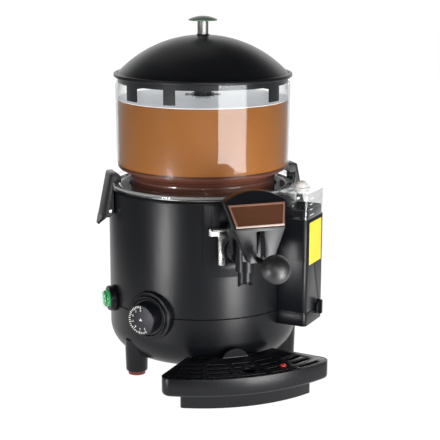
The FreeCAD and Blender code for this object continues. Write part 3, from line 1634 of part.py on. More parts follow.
def water_box():
    """A black box on the housing's side, open above, with a collar for the clear top."""
    body = new_body("water_box")
    for low, high, inset in (
        (box_bottom, seam_height - seam_bevel, 0),
        (seam_height - seam_bevel, seam_height + seam_bevel, seam_bevel),
        (seam_height + seam_bevel, box_split, 0),
    ):
        outer = sketch_on(body, "XY_Plane", offset=low)
        box_outline(outer, box_half - inset, box_front - inset, box_round)
        pad(body, outer, high - low)
    inset = window_wall + fit_gap / 2
    collar = sketch_on(body, "XY_Plane", offset=box_split)
    box_outline(collar, box_half - inset, box_front - inset, box_round - inset)
    pad(body, collar, box_collar)
    inside = sketch_on(body, "XY_Plane", offset=box_split + box_collar)
    box_outline(inside, box_half - box_wall, box_front - box_wall, box_round - box_wall)
    pocket(body, inside, box_split + box_collar - box_bottom - box_wall, back=True)
    ring(body, 0, body_radius, box_bottom - 5, box_top, cut=True)
    wall_angle = chord_angle(box_half - box_wall / 2, body_radius + box_wall) * 2
    ring(body, body_radius, body_radius + box_wall, box_bottom, box_split + box_collar,
         angle=wall_angle, role="YZ_Plane")
    pipe = sketch_on(body, "XZ_Plane", offset=body_radius - 10)
    circle(pipe, 0, link_height, link_radius)
    pocket(body, pipe, box_wall + 12)
    drain = sketch_on(body, "XZ_Plane", offset=box_front - box_wall - 5)
    circle(drain, drain_side, drain_height, drain_stem + pin_gap)
    pocket(body, drain, box_wall + 10)
    turned(body, box_angle)
    return part(body)


def water_window():
    """The clear top of the water box, closed above but for the filler hole."""
    body = new_body("water_window")
    outer = sketch_on(body, "XY_Plane", offset=box_split)
    box_outline(outer, box_half, box_front, box_round)
    pad(body, outer, box_top - box_split)
    inside = sketch_on(body, "XY_Plane", offset=box_split)
    box_outline(inside, box_half - window_wall, box_front - window_wall, box_round - window_wall)
    pocket(body, inside, box_top - box_split - window_wall)
    back = body_radius + fit_gap
    ring(body, 0, back, box_split - 5, box_top + 5, cut=True)
    wall_angle = chord_angle(box_half - window_wall / 2, body_radius + window_wall) * 2
    ring(body, back, back + window_wall, box_split + box_collar + fit_gap, box_top,
         angle=wall_angle, role="YZ_Plane")
    filler = sketch_on(body, "XY_Plane", offset=box_top)
    circle(filler, 0, -filler_reach, filler_hole)
    pocket(body, filler, window_wall * 2, back=True)
    turned(body, box_angle)
    return part(body)


def filler_cap():
    """A domed plug in the top of the water box."""
    body = new_body("filler_cap")
    sketch = sketch_on(body, "XZ_Plane")
    low = fit_gap
    plug = filler_hole - fit_gap
    outline(sketch, [
        Corner(0, -5),
        Corner(plug, -5, 1),
        Corner(plug, low),
        Corner(filler_flange, low),
        Corner(filler_flange, low + 2),
        Corner(filler_dome, low + 2.4, bulge=0),
        Corner(0, filler_height),
    ])
    revolve(body, sketch)
    side, front = sine(box_angle) * filler_reach, cosine(box_angle) * filler_reach
    moved(body, x=side, y=-front, z=box_top)
    return part(body)


def drain_plug():
    """A quarter-turn plug with a grip bar across its face."""
    body = new_body("drain_plug")
    stem_end = box_front - box_wall - 6
    back = box_front + fit_gap
    sketch = sketch_on(body, "YZ_Plane")
    outline(sketch, [
        (-stem_end, 0), (-stem_end, drain_stem, 1), (-back, drain_stem), (-back, drain_radius, 1),
        (-drain_front, drain_radius, 1.5), (-drain_front, 0),
    ])
    revolve(body, sketch, axis="H_Axis")
    grip = sketch_on(body, "XZ_Plane", offset=drain_front)
    half = drain_bar / 2
    outline(grip, [(half, -drain_radius), (drain_radius, -drain_radius), (drain_radius, drain_radius),
                   (half, drain_radius)])
    side = pocket(body, grip, drain_front - back - 2.5, back=True)
    mirror(body, [side])
    angle = box_angle
    x, y = cosine(angle) * drain_side, sine(angle) * drain_side
    moved(body, x=x, y=y, z=drain_height)
    body.Placement.Rotation = Rotation(UP, angle.number)
    body.setExpression("Placement.Rotation.Angle", angle.text)
    return part(body)


# ---------------------------------------------------------------- drip tray

class Fan:
    """The tray's plan, moved in by a wall: straight sides, a flat front arc and a rear arc round the housing.

    The sides would meet at a point in front of the machine's axis; the front arc's centre lies behind the axis.
    """

    def __init__(self, inset):
        self.inset = inset = as_size(inset)
        self.meet = tray_meet + inset / sine(tray_side_angle)
        self.front = tray_front - inset
        self.rear = tray_rear + inset
        self.front_x, self.front_y = self.on_side(tray_arc - inset, tray_arc - tray_front)
        self.rear_x, self.rear_y = self.on_side(self.rear, as_size(0))
        self.corner_reach = root(self.front_x * self.front_x + self.front_y * self.front_y)

    def on_side(self, radius, behind):
        """Where the side crosses a circle whose centre lies behind the axis: its x, and its reach to the front."""
        offset = self.meet + behind
        across = offset * sine(tray_side_angle)
        along = root(radius * radius - across * across) - offset * cosine(tray_side_angle)
        return along * sine(tray_side_angle), self.meet + along * cosine(tray_side_angle)

    def draw(self, sketch):
        outline(sketch, [
            Corner(-self.front_x, -self.front_y, bulge=0),
            Corner(0, -self.front, bulge=0),
            Corner(self.front_x, -self.front_y),
            Corner(self.rear_x, -self.rear_y, bulge=0),
            Corner(0, -self.rear, bulge=0),
            Corner(-self.rear_x, -self.rear_y),
        ])


def drip_tray():
    """A fan-shaped tub on a smaller base that slides under the housing's rounded corner."""
    body = new_body("drip_tray")
    plan = Fan(0)
    band = sketch_on(body, "XY_Plane", offset=tray_band_bottom)
    plan.draw(band)
    pad(body, band, tray_top - tray_band_bottom)
    floor = tray_band_bottom + tray_wall
    recess, well = Fan(tray_wall), Fan(tray_wall + tray_ledge)
    for hollow, low in ((recess, grille_bottom - fit_gap), (well, floor)):
        sketch = sketch_on(body, "XY_Plane", offset=tray_top)
        hollow.draw(sketch)
        pocket(body, sketch, tray_top - low, back=True)
    for fan in (well, recess, plan):
        fillet(body, tray_corner - fan.inset, upright_at(fan.corner_reach))

    def lower_edge(edge):
        heights = [v.Point.z for v in edge.Vertexes]
        reach = max(math.hypot(v.Point.x, v.Point.y) for v in edge.Vertexes)
        return max(abs(z - tray_band_bottom.number) for z in heights) < 0.01 and reach > tray_rear.number + 5

    fillet(body, tray_edge, lower_edge)
    ring(body, tray_base_rear, tray_base_front, 0, floor, angle=tray_base_half_angle * 2, role="YZ_Plane")
    ring(body, tray_base_rear - 1, tray_rear - 1, tray_band_bottom - 1.5, tray_top,
         angle=tray_base_half_angle * 2 + 6, role="YZ_Plane", cut=True)
    ring(body, tray_rear + tray_wall + tray_ledge, tray_base_front - tray_wall, tray_wall, tray_top,
         angle=(tray_base_half_angle - 1) * 2, role="YZ_Plane", cut=True)
    return part(body)


def tray_grille():
    """The slotted cover: rows of curved slots in columns inside a rim, a drain hole, a float hole and a cup stop."""
    body = new_body("tray_grille")
    plan = Fan(tray_wall + fit_gap)
    cover = sketch_on(body, "XY_Plane", offset=grille_bottom)
    plan.draw(cover)
    pad(body, cover, grille_thick)
    stop = sketch_on(body, "XZ_Plane", offset=plan.rear + 1)
    stop_top = tray_top + stop_height
    outline(stop, [
        Corner(stop_half, tray_top, bulge=0),
        Corner(0, stop_top, bulge=0),
        Corner(-stop_half, tray_top),
        Corner(-stop_half, tray_top - 1),
        Corner(stop_half, tray_top - 1),
    ])
    pad(body, stop, stop_thick)

    first = -column_angle * ((slot_columns - 1) / 2)
    rows = sketch_on(body, "YZ_Plane", turn=first)
    for row in range(slot_rows):
        inner = slot_first + slot_pitch * row
        outer = inner + slot_radial
        outline(rows, [(-outer, grille_bottom - 1), (-inner, grille_bottom - 1), (-inner, tray_top + 0.5),
                       (-outer, tray_top + 0.5)])
    slots = groove(body, rows, angle=slot_angle)
    polar_pattern(body, [slots], slot_columns, column_angle * (slot_columns - 1))
    rim = sketch_on(body, "XY_Plane", offset=grille_bottom)
    plan.draw(rim)
    Fan(tray_wall + fit_gap + slot_rim).draw(rim)
    pad(body, rim, grille_thick)
    fillet(body, tray_corner - plan.inset, upright_at(plan.corner_reach))
    for x, reach, boss, hole in (
        (0, drain_reach, drain_boss, drain_hole),
        (float_x, float_y, float_boss, float_stem + slide_gap),
    ):
        plug = sketch_on(body, "XY_Plane", offset=grille_bottom)
        circle(plug, x, -reach, boss)
        pad(body, plug, grille_thick)
        opening = sketch_on(body, "XY_Plane", offset=tray_top)
        circle(opening, x, -reach, hole)
        pocket(body, opening, grille_thick, back=True)
    return part(body)


def tray_float():
    """A red float whose tip rises through the grille as the tray fills."""
    body = new_body("tray_float")
    disc_top = float_disc_low + float_disc_thick
    sketch = sketch_on(body, "XZ_Plane")
    outline(sketch, [
        (0, float_disc_low), (float_disc, float_disc_low, 1.5), (float_disc, disc_top, 1.5),
        (float_stem, disc_top), (float_stem, float_top, 3), (0, float_top),
    ])
    revolve(body, sketch)
    moved(body, x=float_x, y=-float_y)
    return part(body)


# ---------------------------------------------------------------- inner fittings

def terminal_block():
    body = new_body("terminal_block")
    half = terminal_width / 2
    sketch = sketch_on(body, "XY_Plane", offset=shell_floor + shell_wall)
    far = terminal_reach + terminal_depth
    outline(sketch, [(-half, terminal_reach, 2), (half, terminal_reach, 2), (half, far, 2), (-half, far, 2)])
    pad(body, sketch, terminal_height)
    return part(body)


def cable_gland():
    """The mains cable's entry, low at the rear."""
    body = new_body("cable_gland")
    sketch = sketch_on(body, "YZ_Plane")
    bore = gland_radius / 2
    flat = body_radius + 0.1
    outline(sketch, [
        (-shell_inner + 10, bore), (-shell_inner + 10, gland_radius), (-flat, gland_radius),
        (-flat, gland_flange), (-flat - 4, gland_flange, 1), (-flat - 12, gland_radius, 1), (-flat - 12, bore),
    ])
    revolve(body, sketch, axis="H_Axis")
    moved(body, z=gland_height)
    body.Placement.Rotation = Rotation(UP, gland_angle.number)
    body.setExpression("Placement.Rotation.Angle", gland_angle.text)
    return part(body)


# ---------------------------------------------------------------- build, check and write

def build():
    for make in (
        lower_shell, upper_shell, tap_panel, base_plate, base_screws, foot_pads, bain_marie_pan,
        heating_element, link_pipe, motor_bracket, gear_motor, bowl, bowl_gasket, port_seal, drive_shaft,
        stirrer_sleeve, stirrer_star, stirrer_paddle, lid_dome, lid_stud, lid_knob, dial_bezel, dial_knob,
        dial_spindle, thermostat_body, switch_bezel, switch_body, switch_button, switch_cap, tap_body,
        valve_cap, valve_plunger, valve_seal, lever_pin, tap_lever, ball_knob, tap_fork, tap_shield,
        badge_plate, water_box, water_window, filler_cap, drain_plug, drip_tray, tray_grille, tray_float,
        terminal_block, cable_gland,
    ):
        make()
    for label, angle in (("leg_left", -leg_angle), ("leg_right", leg_angle), ("leg_rear", as_size(180))):
        leg(label, angle)
    for side, angle in (("left", as_size(-90)), ("right", as_size(90))):
        clip(f"clip_{side}", angle)
        clip_bracket(f"clip_bracket_{side}", angle)
        clip_pin(f"clip_pin_{side}", angle)


def faults():
    """What is wrong: objects that failed, cuts that removed nothing and sub-parts with no sound shape."""
    for item in doc.Objects:
        if "Invalid" in item.State or "Error" in item.State:
            yield f"{item.Name} of {item.InListRecursive[-1].Label if item.InList else doc.Name} failed"
        elif item.TypeId in ("PartDesign::Pocket", "PartDesign::Groove"):
            if item.Shape.Volume > item.BaseFeature.Shape.Volume - 0.01:
                yield f"{item.Name} of {item.getParentGeoFeatureGroup().Label} cuts nothing"
    for item in parts:
        if item.Shape.isNull() or not item.Shape.isValid() or not item.Shape.Solids:
            yield f"{item.Label} has no sound shape"


def write():
    os.makedirs("parts", exist_ok=True)
    for item in parts:
        item.Shape.exportStep(f"parts/{item.Label}.step")


build()
doc.recompute()
found = list(faults())
if found:
    raise RuntimeError("; ".join(found))
write()
print(len(parts), "sub-parts written")
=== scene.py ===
"""Looks of a counter-top hot chocolate dispenser, laid over its solid model.

Lengths are in metres, save where a docstring or a comment says millimetres. An angle round the machine is in
degrees from its front, positive towards the user's right.
"""
import json
import math

import bmesh
import bpy
from mathutils import Matrix, Vector


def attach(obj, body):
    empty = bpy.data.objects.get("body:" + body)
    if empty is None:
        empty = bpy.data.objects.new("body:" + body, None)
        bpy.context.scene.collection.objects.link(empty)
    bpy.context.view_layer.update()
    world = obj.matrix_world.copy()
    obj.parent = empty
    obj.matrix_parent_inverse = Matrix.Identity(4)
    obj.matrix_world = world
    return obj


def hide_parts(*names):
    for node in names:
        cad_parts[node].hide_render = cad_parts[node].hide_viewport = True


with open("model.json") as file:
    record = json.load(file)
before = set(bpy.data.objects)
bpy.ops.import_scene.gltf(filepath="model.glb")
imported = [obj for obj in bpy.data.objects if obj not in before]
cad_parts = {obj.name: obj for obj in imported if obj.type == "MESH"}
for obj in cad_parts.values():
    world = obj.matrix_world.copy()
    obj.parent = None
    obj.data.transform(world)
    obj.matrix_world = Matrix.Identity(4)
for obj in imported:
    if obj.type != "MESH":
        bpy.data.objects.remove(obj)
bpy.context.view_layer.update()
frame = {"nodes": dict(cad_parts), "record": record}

bl_info = {
    "name": "Hot chocolate dispenser",
    "version": (1, 0, 0),
    "blender": (4, 5, 0),
    "location": "View3D > Sidebar > Dispenser",
    "description": "Dresses the dispenser's solids and adds its drink, marks, bare plates and studio",
    "category": "Object",
}

RECORD = frame["record"]
BODY_OF = {node: body for body, nodes in RECORD["behaviour"]["bodies"].items() for node in nodes}
JOINT_OF = {joint["name"]: joint for joint in RECORD["behaviour"]["joints"]}
MM = 0.001

# Where a finish changes: heights, save the lip of the bowl's flange, which is a reach from the axis.
GRILLE_TOP = 0.0428
# Heights of the badge frame's lower bar, which carries a painted highlight.
BADGE_LIT_BAR = (0.2335, 0.236)
FLANGE_LIP = 0.1242
FLANGE_TOP = 0.2575
NECK_TOP = 0.2745
SHOULDER_TOP = 0.276

# The drink's radii in millimetres: round the stirrer's tube, in the bowl's neck and against its wall.
DRINK_TUBE, DRINK_NECK, DRINK_WALL = 10.7, 95.4, 113.0

# The camera's sensor in millimetres, and how far the machine's axis stands left of the middle of the frame, in
# widths of the frame.
SENSOR = 36
SHIFT = 17.1 / 440

# The studio's lights, with their radiance in watts per square metre and steradian. The housing mirrors the
# strips on the floor as its two tall highlights.
SOFTBOXES = (
    dict(name="key_right", angle=19, distance=1.0, height=0.17, aim=0.17,
         width=0.66, tall=0.3, radiance=9),
    dict(name="fill_left", angle=-75, distance=1.5, height=1.0, aim=0.3,
         width=0.5, tall=0.6, radiance=3),
    dict(name="overhead", angle=180, distance=0.9, height=1.5, aim=0.3,
         width=0.9, tall=0.9, radiance=0.4),
    dict(name="backdrop", angle=162, distance=3.2, height=1.1, aim=1.1,
         width=6.0, tall=2.2, radiance=1.4),
    dict(name="camera_side", angle=-18, distance=1.95, height=0.78, aim=0.2,
         width=0.36, tall=0.3, radiance=16),
    dict(name="front_low", angle=-8, distance=2.2, height=0.3, aim=0.25,
         width=0.9, tall=0.25, radiance=3),
)
FLOOR_STRIPS = (
    dict(angle=-61, near=0.4, far=0.82, width=0.12, radiance=8),
    dict(angle=-61, near=0.82, far=1.19, width=0.19, radiance=64),
    dict(angle=16, near=0.42, far=0.75, width=0.16, radiance=18),
    dict(angle=16, near=0.75, far=1.16, width=0.26, radiance=18),
)


# ---------------------------------------------------------------- places round the machine

def outwards(angle):
    """The level direction away from the machine's axis at an angle round it."""
    turn = math.radians(angle)
    return Vector((math.sin(turn), -math.cos(turn), 0))


def angle_of(joint):
    """The angle round the machine that a joint's piece faces; the joint's axis points inwards."""
    x, y, _ = JOINT_OF[joint]["axis"]
    return math.degrees(math.atan2(-x, y))


def face_of(node, angle):
    """How far out a node reaches at an angle round the machine, in millimetres."""
    out = outwards(angle)
    return max(out.dot(vert.co) for vert in frame["nodes"][node].data.vertices) / MM


def facing(angle, reach, height):
    """Local X to the right, Y up and Z outwards, on a spot round the machine's axis; in millimetres."""
    out = outwards(angle)
    up = Vector((0, 0, 1))
    axes = Matrix((up.cross(out), up, out)).transposed().to_4x4()
    return Matrix.Translation(out * reach * MM + up * height * MM) @ axes @ Matrix.Scale(MM, 4)


# ---------------------------------------------------------------- colours, materials

def colour(text):
    """A colour given as six hex digits, in linear light."""
    channels = [int(text[i:i + 2], 16) / 255 for i in (0, 2, 4)]
    return tuple(c / 12.92 if c <= 0.04045 else ((c + 0.055) / 1.055) ** 2.4 for c in channels)


def shade(tone, factor):
    """A colour made darker or lighter by a factor."""
    return tuple(min(1.0, channel * factor) for channel in tone)


class Value:
    """A number on a wire of a material; arithmetic on it adds Math nodes."""

    def __init__(self, finish, socket):
        self.finish = finish
        self.socket = socket

    def maths(self, operation, *others):
        return self.finish.node("Math", {"operation": operation}, dict(enumerate((self, *others))))

    def flipped(self, operation, other):
        return self.finish.node("Math", {"operation": operation}, {0: other, 1: self})

    def __add__(self, other):
        return self.maths("ADD", other)

    def __sub__(self, other):
        return self.maths("SUBTRACT", other)

    def __mul__(self, other):
        return self.maths("MULTIPLY", other)

    def __truediv__(self, other):
        return self.maths("DIVIDE", other)

    def __pow__(self, other):
        return self.maths("POWER", other)

    def __gt__(self, other):
        return self.maths("GREATER_THAN", other)

    def __lt__(self, other):
        return self.maths("LESS_THAN", other)

    def __abs__(self):
        return self.maths("ABSOLUTE")

    def __rsub__(self, other):
        return self.flipped("SUBTRACT", other)

    __radd__ = __add__
    __rmul__ = __mul__


class Finish:
    """A material: its shader, and the few nodes that vary it over a surface."""

    def __init__(self, name):
        old = bpy.data.materials.get(name)
        if old:
            bpy.data.materials.remove(old)
        self.material = bpy.data.materials.new(name)
        self.material.use_nodes = True
        self.tree = self.material.node_tree
        self.shader = self.tree.nodes["Principled BSDF"]

    def feed(self, socket, value):
        """Links a wire to a socket, or sets the socket to a number, a vector or a colour."""
        if isinstance(value, Value):
            self.tree.links.new(value.socket, socket)
        elif socket.type == "RGBA" and len(value) == 3:
            socket.default_value = (*value, 1)
        else:
            socket.default_value = value

    def node(self, kind, settings=None, inputs=None, output=0):
        """Adds a node, sets it up, wires its inputs and gives one of its outputs."""
        node = self.tree.nodes.new("ShaderNode" + kind)
        for name, value in (settings or {}).items():
            setattr(node, name, value)
        for name, value in (inputs or {}).items():
            self.feed(node.inputs[name], value)
        return Value(self, node.outputs[output])

    def set(self, values):
        """Feeds the shader's own sockets."""
        for name, value in values.items():
            self.feed(self.shader.inputs[name], value)
        return self

    def place(self):
        return self.node("TexCoord", output="Object")

    def coordinate(self, index):
        """The X, Y or Z of a spot, by its index."""
        return self.node("SeparateXYZ", {}, {0: self.place()}, output=index)

    def height(self):
        return self.coordinate(2)

    def reach(self):
        """How far a spot is from the machine's axis."""
        x, y = self.coordinate(0), self.coordinate(1)
        return (x * x + y * y) ** 0.5

    def noise(self, size, detail=2.0, stretch=None):
        """Noise from 0 to 1 with features of this size; a stretch below 1 draws them out along its axis."""
        place = self.place()
        if stretch:
            place = self.node("Mapping", {}, {"Vector": place, "Scale": stretch})
        return self.node("TexNoise", {}, {"Vector": place, "Scale": 1 / size, "Detail": detail})

    def cells(self, per_metre):
        """Round cells, so many to a metre: 0 in the middle of each, and more towards its edge."""
        return self.node("TexVoronoi", {}, {"Vector": self.place(), "Scale": per_metre})

    def ramp(self, value, low, high):
        """A smooth rise from 0 at a low value to 1 at a high one."""
        inputs = {"Value": value, "From Min": low, "From Max": high}
        return self.node("MapRange", {"interpolation_type": "SMOOTHSTEP"}, inputs)

    def mix(self, low, high, factor):
        """A colour between two colours: a Mix node's sockets 6 and 7 and its output 2 are its colours."""
        return self.node("Mix", {"data_type": "RGBA"}, {0: factor, 6: low, 7: high}, output=2)

    def bump(self, height, depth):
        return self.node("Bump", {}, {"Height": height, "Distance": depth, "Strength": 1.0})


def moulded_plastic(name, tone, rough=0.31, grain=0.0005, depth=0.00002, gleam=0.28, matt_above=None):
    """Injection-moulded plastic with a fine eroded grain, faint wiping marks and specks of dust.

    Where a height is given as matt_above, the plastic is duller above it.
    """
    finish = Finish(name)
    grains = finish.noise(grain)
    smears = finish.noise(0.05, detail=4, stretch=(1, 1, 0.35))
    specks = finish.noise(0.0016, detail=1) > 0.72
    wiped = finish.mix(shade(tone, 0.88), shade(tone, 1.15), smears)
    dusty = tuple(channel + 0.01 for channel in tone)
    if matt_above:
        rough = rough + finish.ramp(finish.height(), matt_above, matt_above + 0.0005) * 0.45
    return finish.set({
        "Base Color": finish.mix(wiped, dusty, specks * smears * 0.25),
        "Roughness": rough - 0.05 + smears * 0.1,
        "Specular IOR Level": gleam,
        "Normal": finish.bump(grains, depth),
    })


def glossy_plastic(name, tone, rough=0.14):
    """Polished plastic, a little wavy and smeared."""
    finish = Finish(name)
    ripples = finish.noise(0.012)
    smears = finish.noise(0.03, detail=4)
    return finish.set({
        "Base Color": finish.mix(shade(tone, 0.94), shade(tone, 1.06), smears),
        "Roughness": rough + smears * 0.08,
        "Normal": finish.bump(ripples, 0.00002),
    })


def metal(name, tone, rough=0.25, stretch=(1, 1, 1)):
    """Metal; a small last number in the stretch gives it a brushed grain that runs upwards."""
    finish = Finish(name)
    lines = finish.noise(0.0004, detail=3, stretch=stretch)
    tarnish = finish.noise(0.02, detail=3)
    return finish.set({
        "Base Color": finish.mix(shade(tone, 0.9), tone, tarnish),
        "Metallic": 1.0,
        "Roughness": rough - 0.05 + lines * 0.12 + tarnish * 0.05,
        "Normal": finish.bump(lines, 0.000008),
    })


def rose_metal(name, tone, bright):
    """The badge's satin frame, with a painted highlight along its lower bar."""
    finish = Finish(name)
    # Painted highlight: the lower bar is lightened towards the pale second colour, as if it caught the light.
    low = 1 - finish.ramp(finish.height(), *BADGE_LIT_BAR)
    return finish.set({
        "Base Color": finish.mix(tone, bright, low * (0.75 + finish.noise(0.01) * 0.25)),
        "Metallic": 0.3,
        "Roughness": 0.3 + finish.noise(0.0006) * 0.1,
    })


def clear_plastic(name, tone, haze=0.02, rough=0.03, edge=0.75, flange=None):
    """Clear plastic: it mirrors more towards its edges and lets the rest through.

    A flange is given as the reach of its lip, its top, and the top of the rounded shoulder above it. The
    plastic mirrors weakly up to that shoulder. The flange is whitened a little, and its lip more: a painted
    highlight where its edge catches the light.
    """
    finish = Finish(name)
    rim = finish.node("LayerWeight", {}, {"Blend": 0.5}, output="Facing") ** 4
    wipes = finish.noise(0.04, detail=4, stretch=(1, 1, 0.4))
    finish.material.use_transparent_shadow = True
    mirror = haze + rim * edge + wipes * 0.008
    metallic = 1.0
    if flange:
        reach, top, shoulder = flange
        mirror = mirror * (0.1 + finish.ramp(finish.height(), shoulder, shoulder + 0.003) * 0.9)
        # Painted highlight: the flange's lip is whitened and dulled, as if its edge caught the light.
        lip = finish.ramp(finish.reach(), reach, reach + 0.0004)
        ring = finish.height() < top
        milk_and_glint = ring * (0.04 + lip * 0.2)
        mirror = mirror * (1 - ring * 0.5) + milk_and_glint
        metallic = 1 - (milk_and_glint > 0.1) * 0.9
    return finish.set({
        "Base Color": tone,
        "Metallic": metallic,
        "Roughness": rough + wipes * 0.03,
        "Alpha": mirror,
        "Normal": finish.bump(finish.noise(0.03, detail=1), 0.00004),
    })


def rubber(name, tone, rough=0.75):
    """Dull rubber with a coarse grain."""
    finish = Finish(name)
    grains = finish.noise(0.0008, detail=3)
    return finish.set({
        "Base Color": finish.mix(shade(tone, 0.85), shade(tone, 1.2), finish.noise(0.01, detail=3)),
        "Roughness": rough + grains * 0.1,
        "Normal": finish.bump(grains, 0.00004),
    })


def drink(name, tone, deep, neck):
    """Hot chocolate against the bowl, darker low down; painted shade darkens it in the neck,
    in bands, under a darker band at the neck's top.
    """
    finish = Finish(name)
    swirl = finish.noise(0.03, detail=4, stretch=(1, 1, 3))
    height = finish.height()
    depth, ring_pitch = 0.085, 0.004488
    low = 1 - (height - NECK_TOP) / depth
    # Painted shade in the neck: its colour darkens in bands, one to each ring pitch.
    shade_rings = (height * (math.tau / ring_pitch)).maths("SINE") * 0.5 + 0.5
    ringed_in_shade = finish.mix(neck, shade(neck, 0.55), shade_rings)
    neck_end = (NECK_TOP - 0.0012, NECK_TOP - 0.0008)
    shade_line_foot = (NECK_TOP - 0.0035, NECK_TOP - 0.0025)
    under = 1 - finish.ramp(height, *neck_end)
    # Painted shade: a dark band at the top of the neck, just under the shoulder.
    shade_line = under * finish.ramp(height, *shade_line_foot)
    below = finish.mix(ringed_in_shade, shade(neck, 0.2), shade_line)
    above = finish.mix(tone, deep, low * 0.5 + swirl * 0.35)
    return finish.set({
        "Base Color": finish.mix(above, below, under),
        "Roughness": 0.36 + swirl * 0.1,
        "Specular IOR Level": 0.2,
        "Normal": finish.bump(swirl, 0.0001),
    })


def froth(name, tone):
    """A pale skin of fine bubbles on the drink; its glow stands for light that scatters inside it."""
    finish = Finish(name)
    bubbles = finish.cells(380)
    patches = finish.noise(0.02, detail=4)
    return finish.set({
        "Base Color": finish.mix(tone, shade(tone, 0.82), patches),
        "Roughness": 0.4 + patches * 0.1,
        "Specular IOR Level": 0.2,
        "Emission Color": finish.mix(shade(tone, 0.66), shade(tone, 0.46), patches),
        "Emission Strength": 1.0,
        "Normal": finish.bump(bubbles, 0.00006),
    })


def lens(name, tone):
    """A lit lens with a ribbed inside."""
    finish = Finish(name)
    ribs = finish.cells(420)
    bright = finish.mix(tone, shade(tone, 1.8), ribs)
    return finish.set({
        "Base Color": bright,
        "Roughness": 0.15 + ribs * 0.2,
        "Emission Color": bright,
        "Emission Strength": 0.15,
        "Normal": finish.bump(ribs, 0.0002),
    })


class DispenserColours(bpy.types.PropertyGroup):
    """Colours of the dispenser's finishes"""

    housing: bpy.props.FloatVectorProperty(
        name="Housing", description="Satin black of the moulded housing", subtype="COLOR",
        default=colour("0f1014"), min=0, max=1)
    gloss: bpy.props.FloatVectorProperty(
        name="Ball and blades", description="Black of the tap's ball and the stirrer's blades",
        subtype="COLOR", default=colour("0e0e11"), min=0, max=1)
    chocolate: bpy.props.FloatVectorProperty(
        name="Chocolate", description="Colour of the drink", subtype="COLOR",
        default=colour("935d2b"), min=0, max=1)
    chocolate_deep: bpy.props.FloatVectorProperty(
        name="Chocolate, low down", description="Colour of the drink near the neck", subtype="COLOR",
        default=colour("8f5722"), min=0, max=1)
    # The drink as the bowl's neck shows it, darker than the rest: painted shade.
    neck: bpy.props.FloatVectorProperty(
        name="Neck", description="Colour of the drink through the bowl's neck", subtype="COLOR",
        default=colour("75483a"), min=0, max=1)
    froth: bpy.props.FloatVectorProperty(
        name="Froth", description="Colour of the skin on the drink", subtype="COLOR",
        default=colour("d4d8dc"), min=0, max=1)
    badge: bpy.props.FloatVectorProperty(
        name="Badge", description="Brown field of the bare badge", subtype="COLOR",
        default=colour("4e2f1e"), min=0, max=1)
    panel: bpy.props.FloatVectorProperty(
        name="Side panel", description="Plain panel on the water box", subtype="COLOR",
        default=colour("e8cf3a"), min=0, max=1)
    lamp: bpy.props.FloatVectorProperty(
        name="Lamp", description="Green lens of the power switch", subtype="COLOR",
        default=colour("3fa869"), min=0, max=1)
    knob: bpy.props.FloatVectorProperty(
        name="Lid knob", description="Grey-green cap of the lid's knob", subtype="COLOR",
        default=colour("6c8270"), min=0, max=1)


class DispenserSizes(bpy.types.PropertyGroup):
    """Sizes that belong to the look and not to the solids"""

    fill: bpy.props.FloatProperty(
        name="Drink level", description="Height of the drink above the counter", unit="LENGTH",
        default=0.3592, min=0.3, max=0.365)
    ticks: bpy.props.IntProperty(
        name="Dial marks", description="Marks round the dial", default=25, min=5, max=60)
    edge: bpy.props.FloatProperty(
        name="Edge softness", description="Rounding of moulded edges", unit="LENGTH",
        default=0.0005, min=0, max=0.002)


class DispenserStudio(bpy.types.PropertyGroup):
    """Camera, lights and floor"""

    azimuth: bpy.props.FloatProperty(
        name="Camera azimuth", description="Turn of the camera about the machine", subtype="ANGLE",
        default=math.radians(-18), min=-math.pi, max=math.pi)
    pitch: bpy.props.FloatProperty(
        name="Camera pitch", description="How far the camera looks down", subtype="ANGLE",
        default=math.radians(13), min=0, max=math.pi / 2)
    distance: bpy.props.FloatProperty(
        name="Camera distance", description="Level distance from the axis", unit="LENGTH",
        default=1.6186, min=0.5, max=5)
    height: bpy.props.FloatProperty(
        name="Camera height", description="Height above the counter", unit="LENGTH",
        default=0.5665, min=0, max=3)
    lens: bpy.props.FloatProperty(
        name="Camera lens", description="Focal length of the camera", unit="CAMERA",
        default=100.47, min=20, max=300)
    light: bpy.props.FloatProperty(
        name="Light", description="Strength of the studio lights", default=1.0, min=0, max=10)
    dim_floor: bpy.props.FloatProperty(
        name="Dim floor", description="Glow of the floor outside its white patch",
        default=0.22, min=0, max=1)


def look():
    return bpy.context.scene.dispenser_colours


def sizes():
    return bpy.context.scene.dispenser_sizes


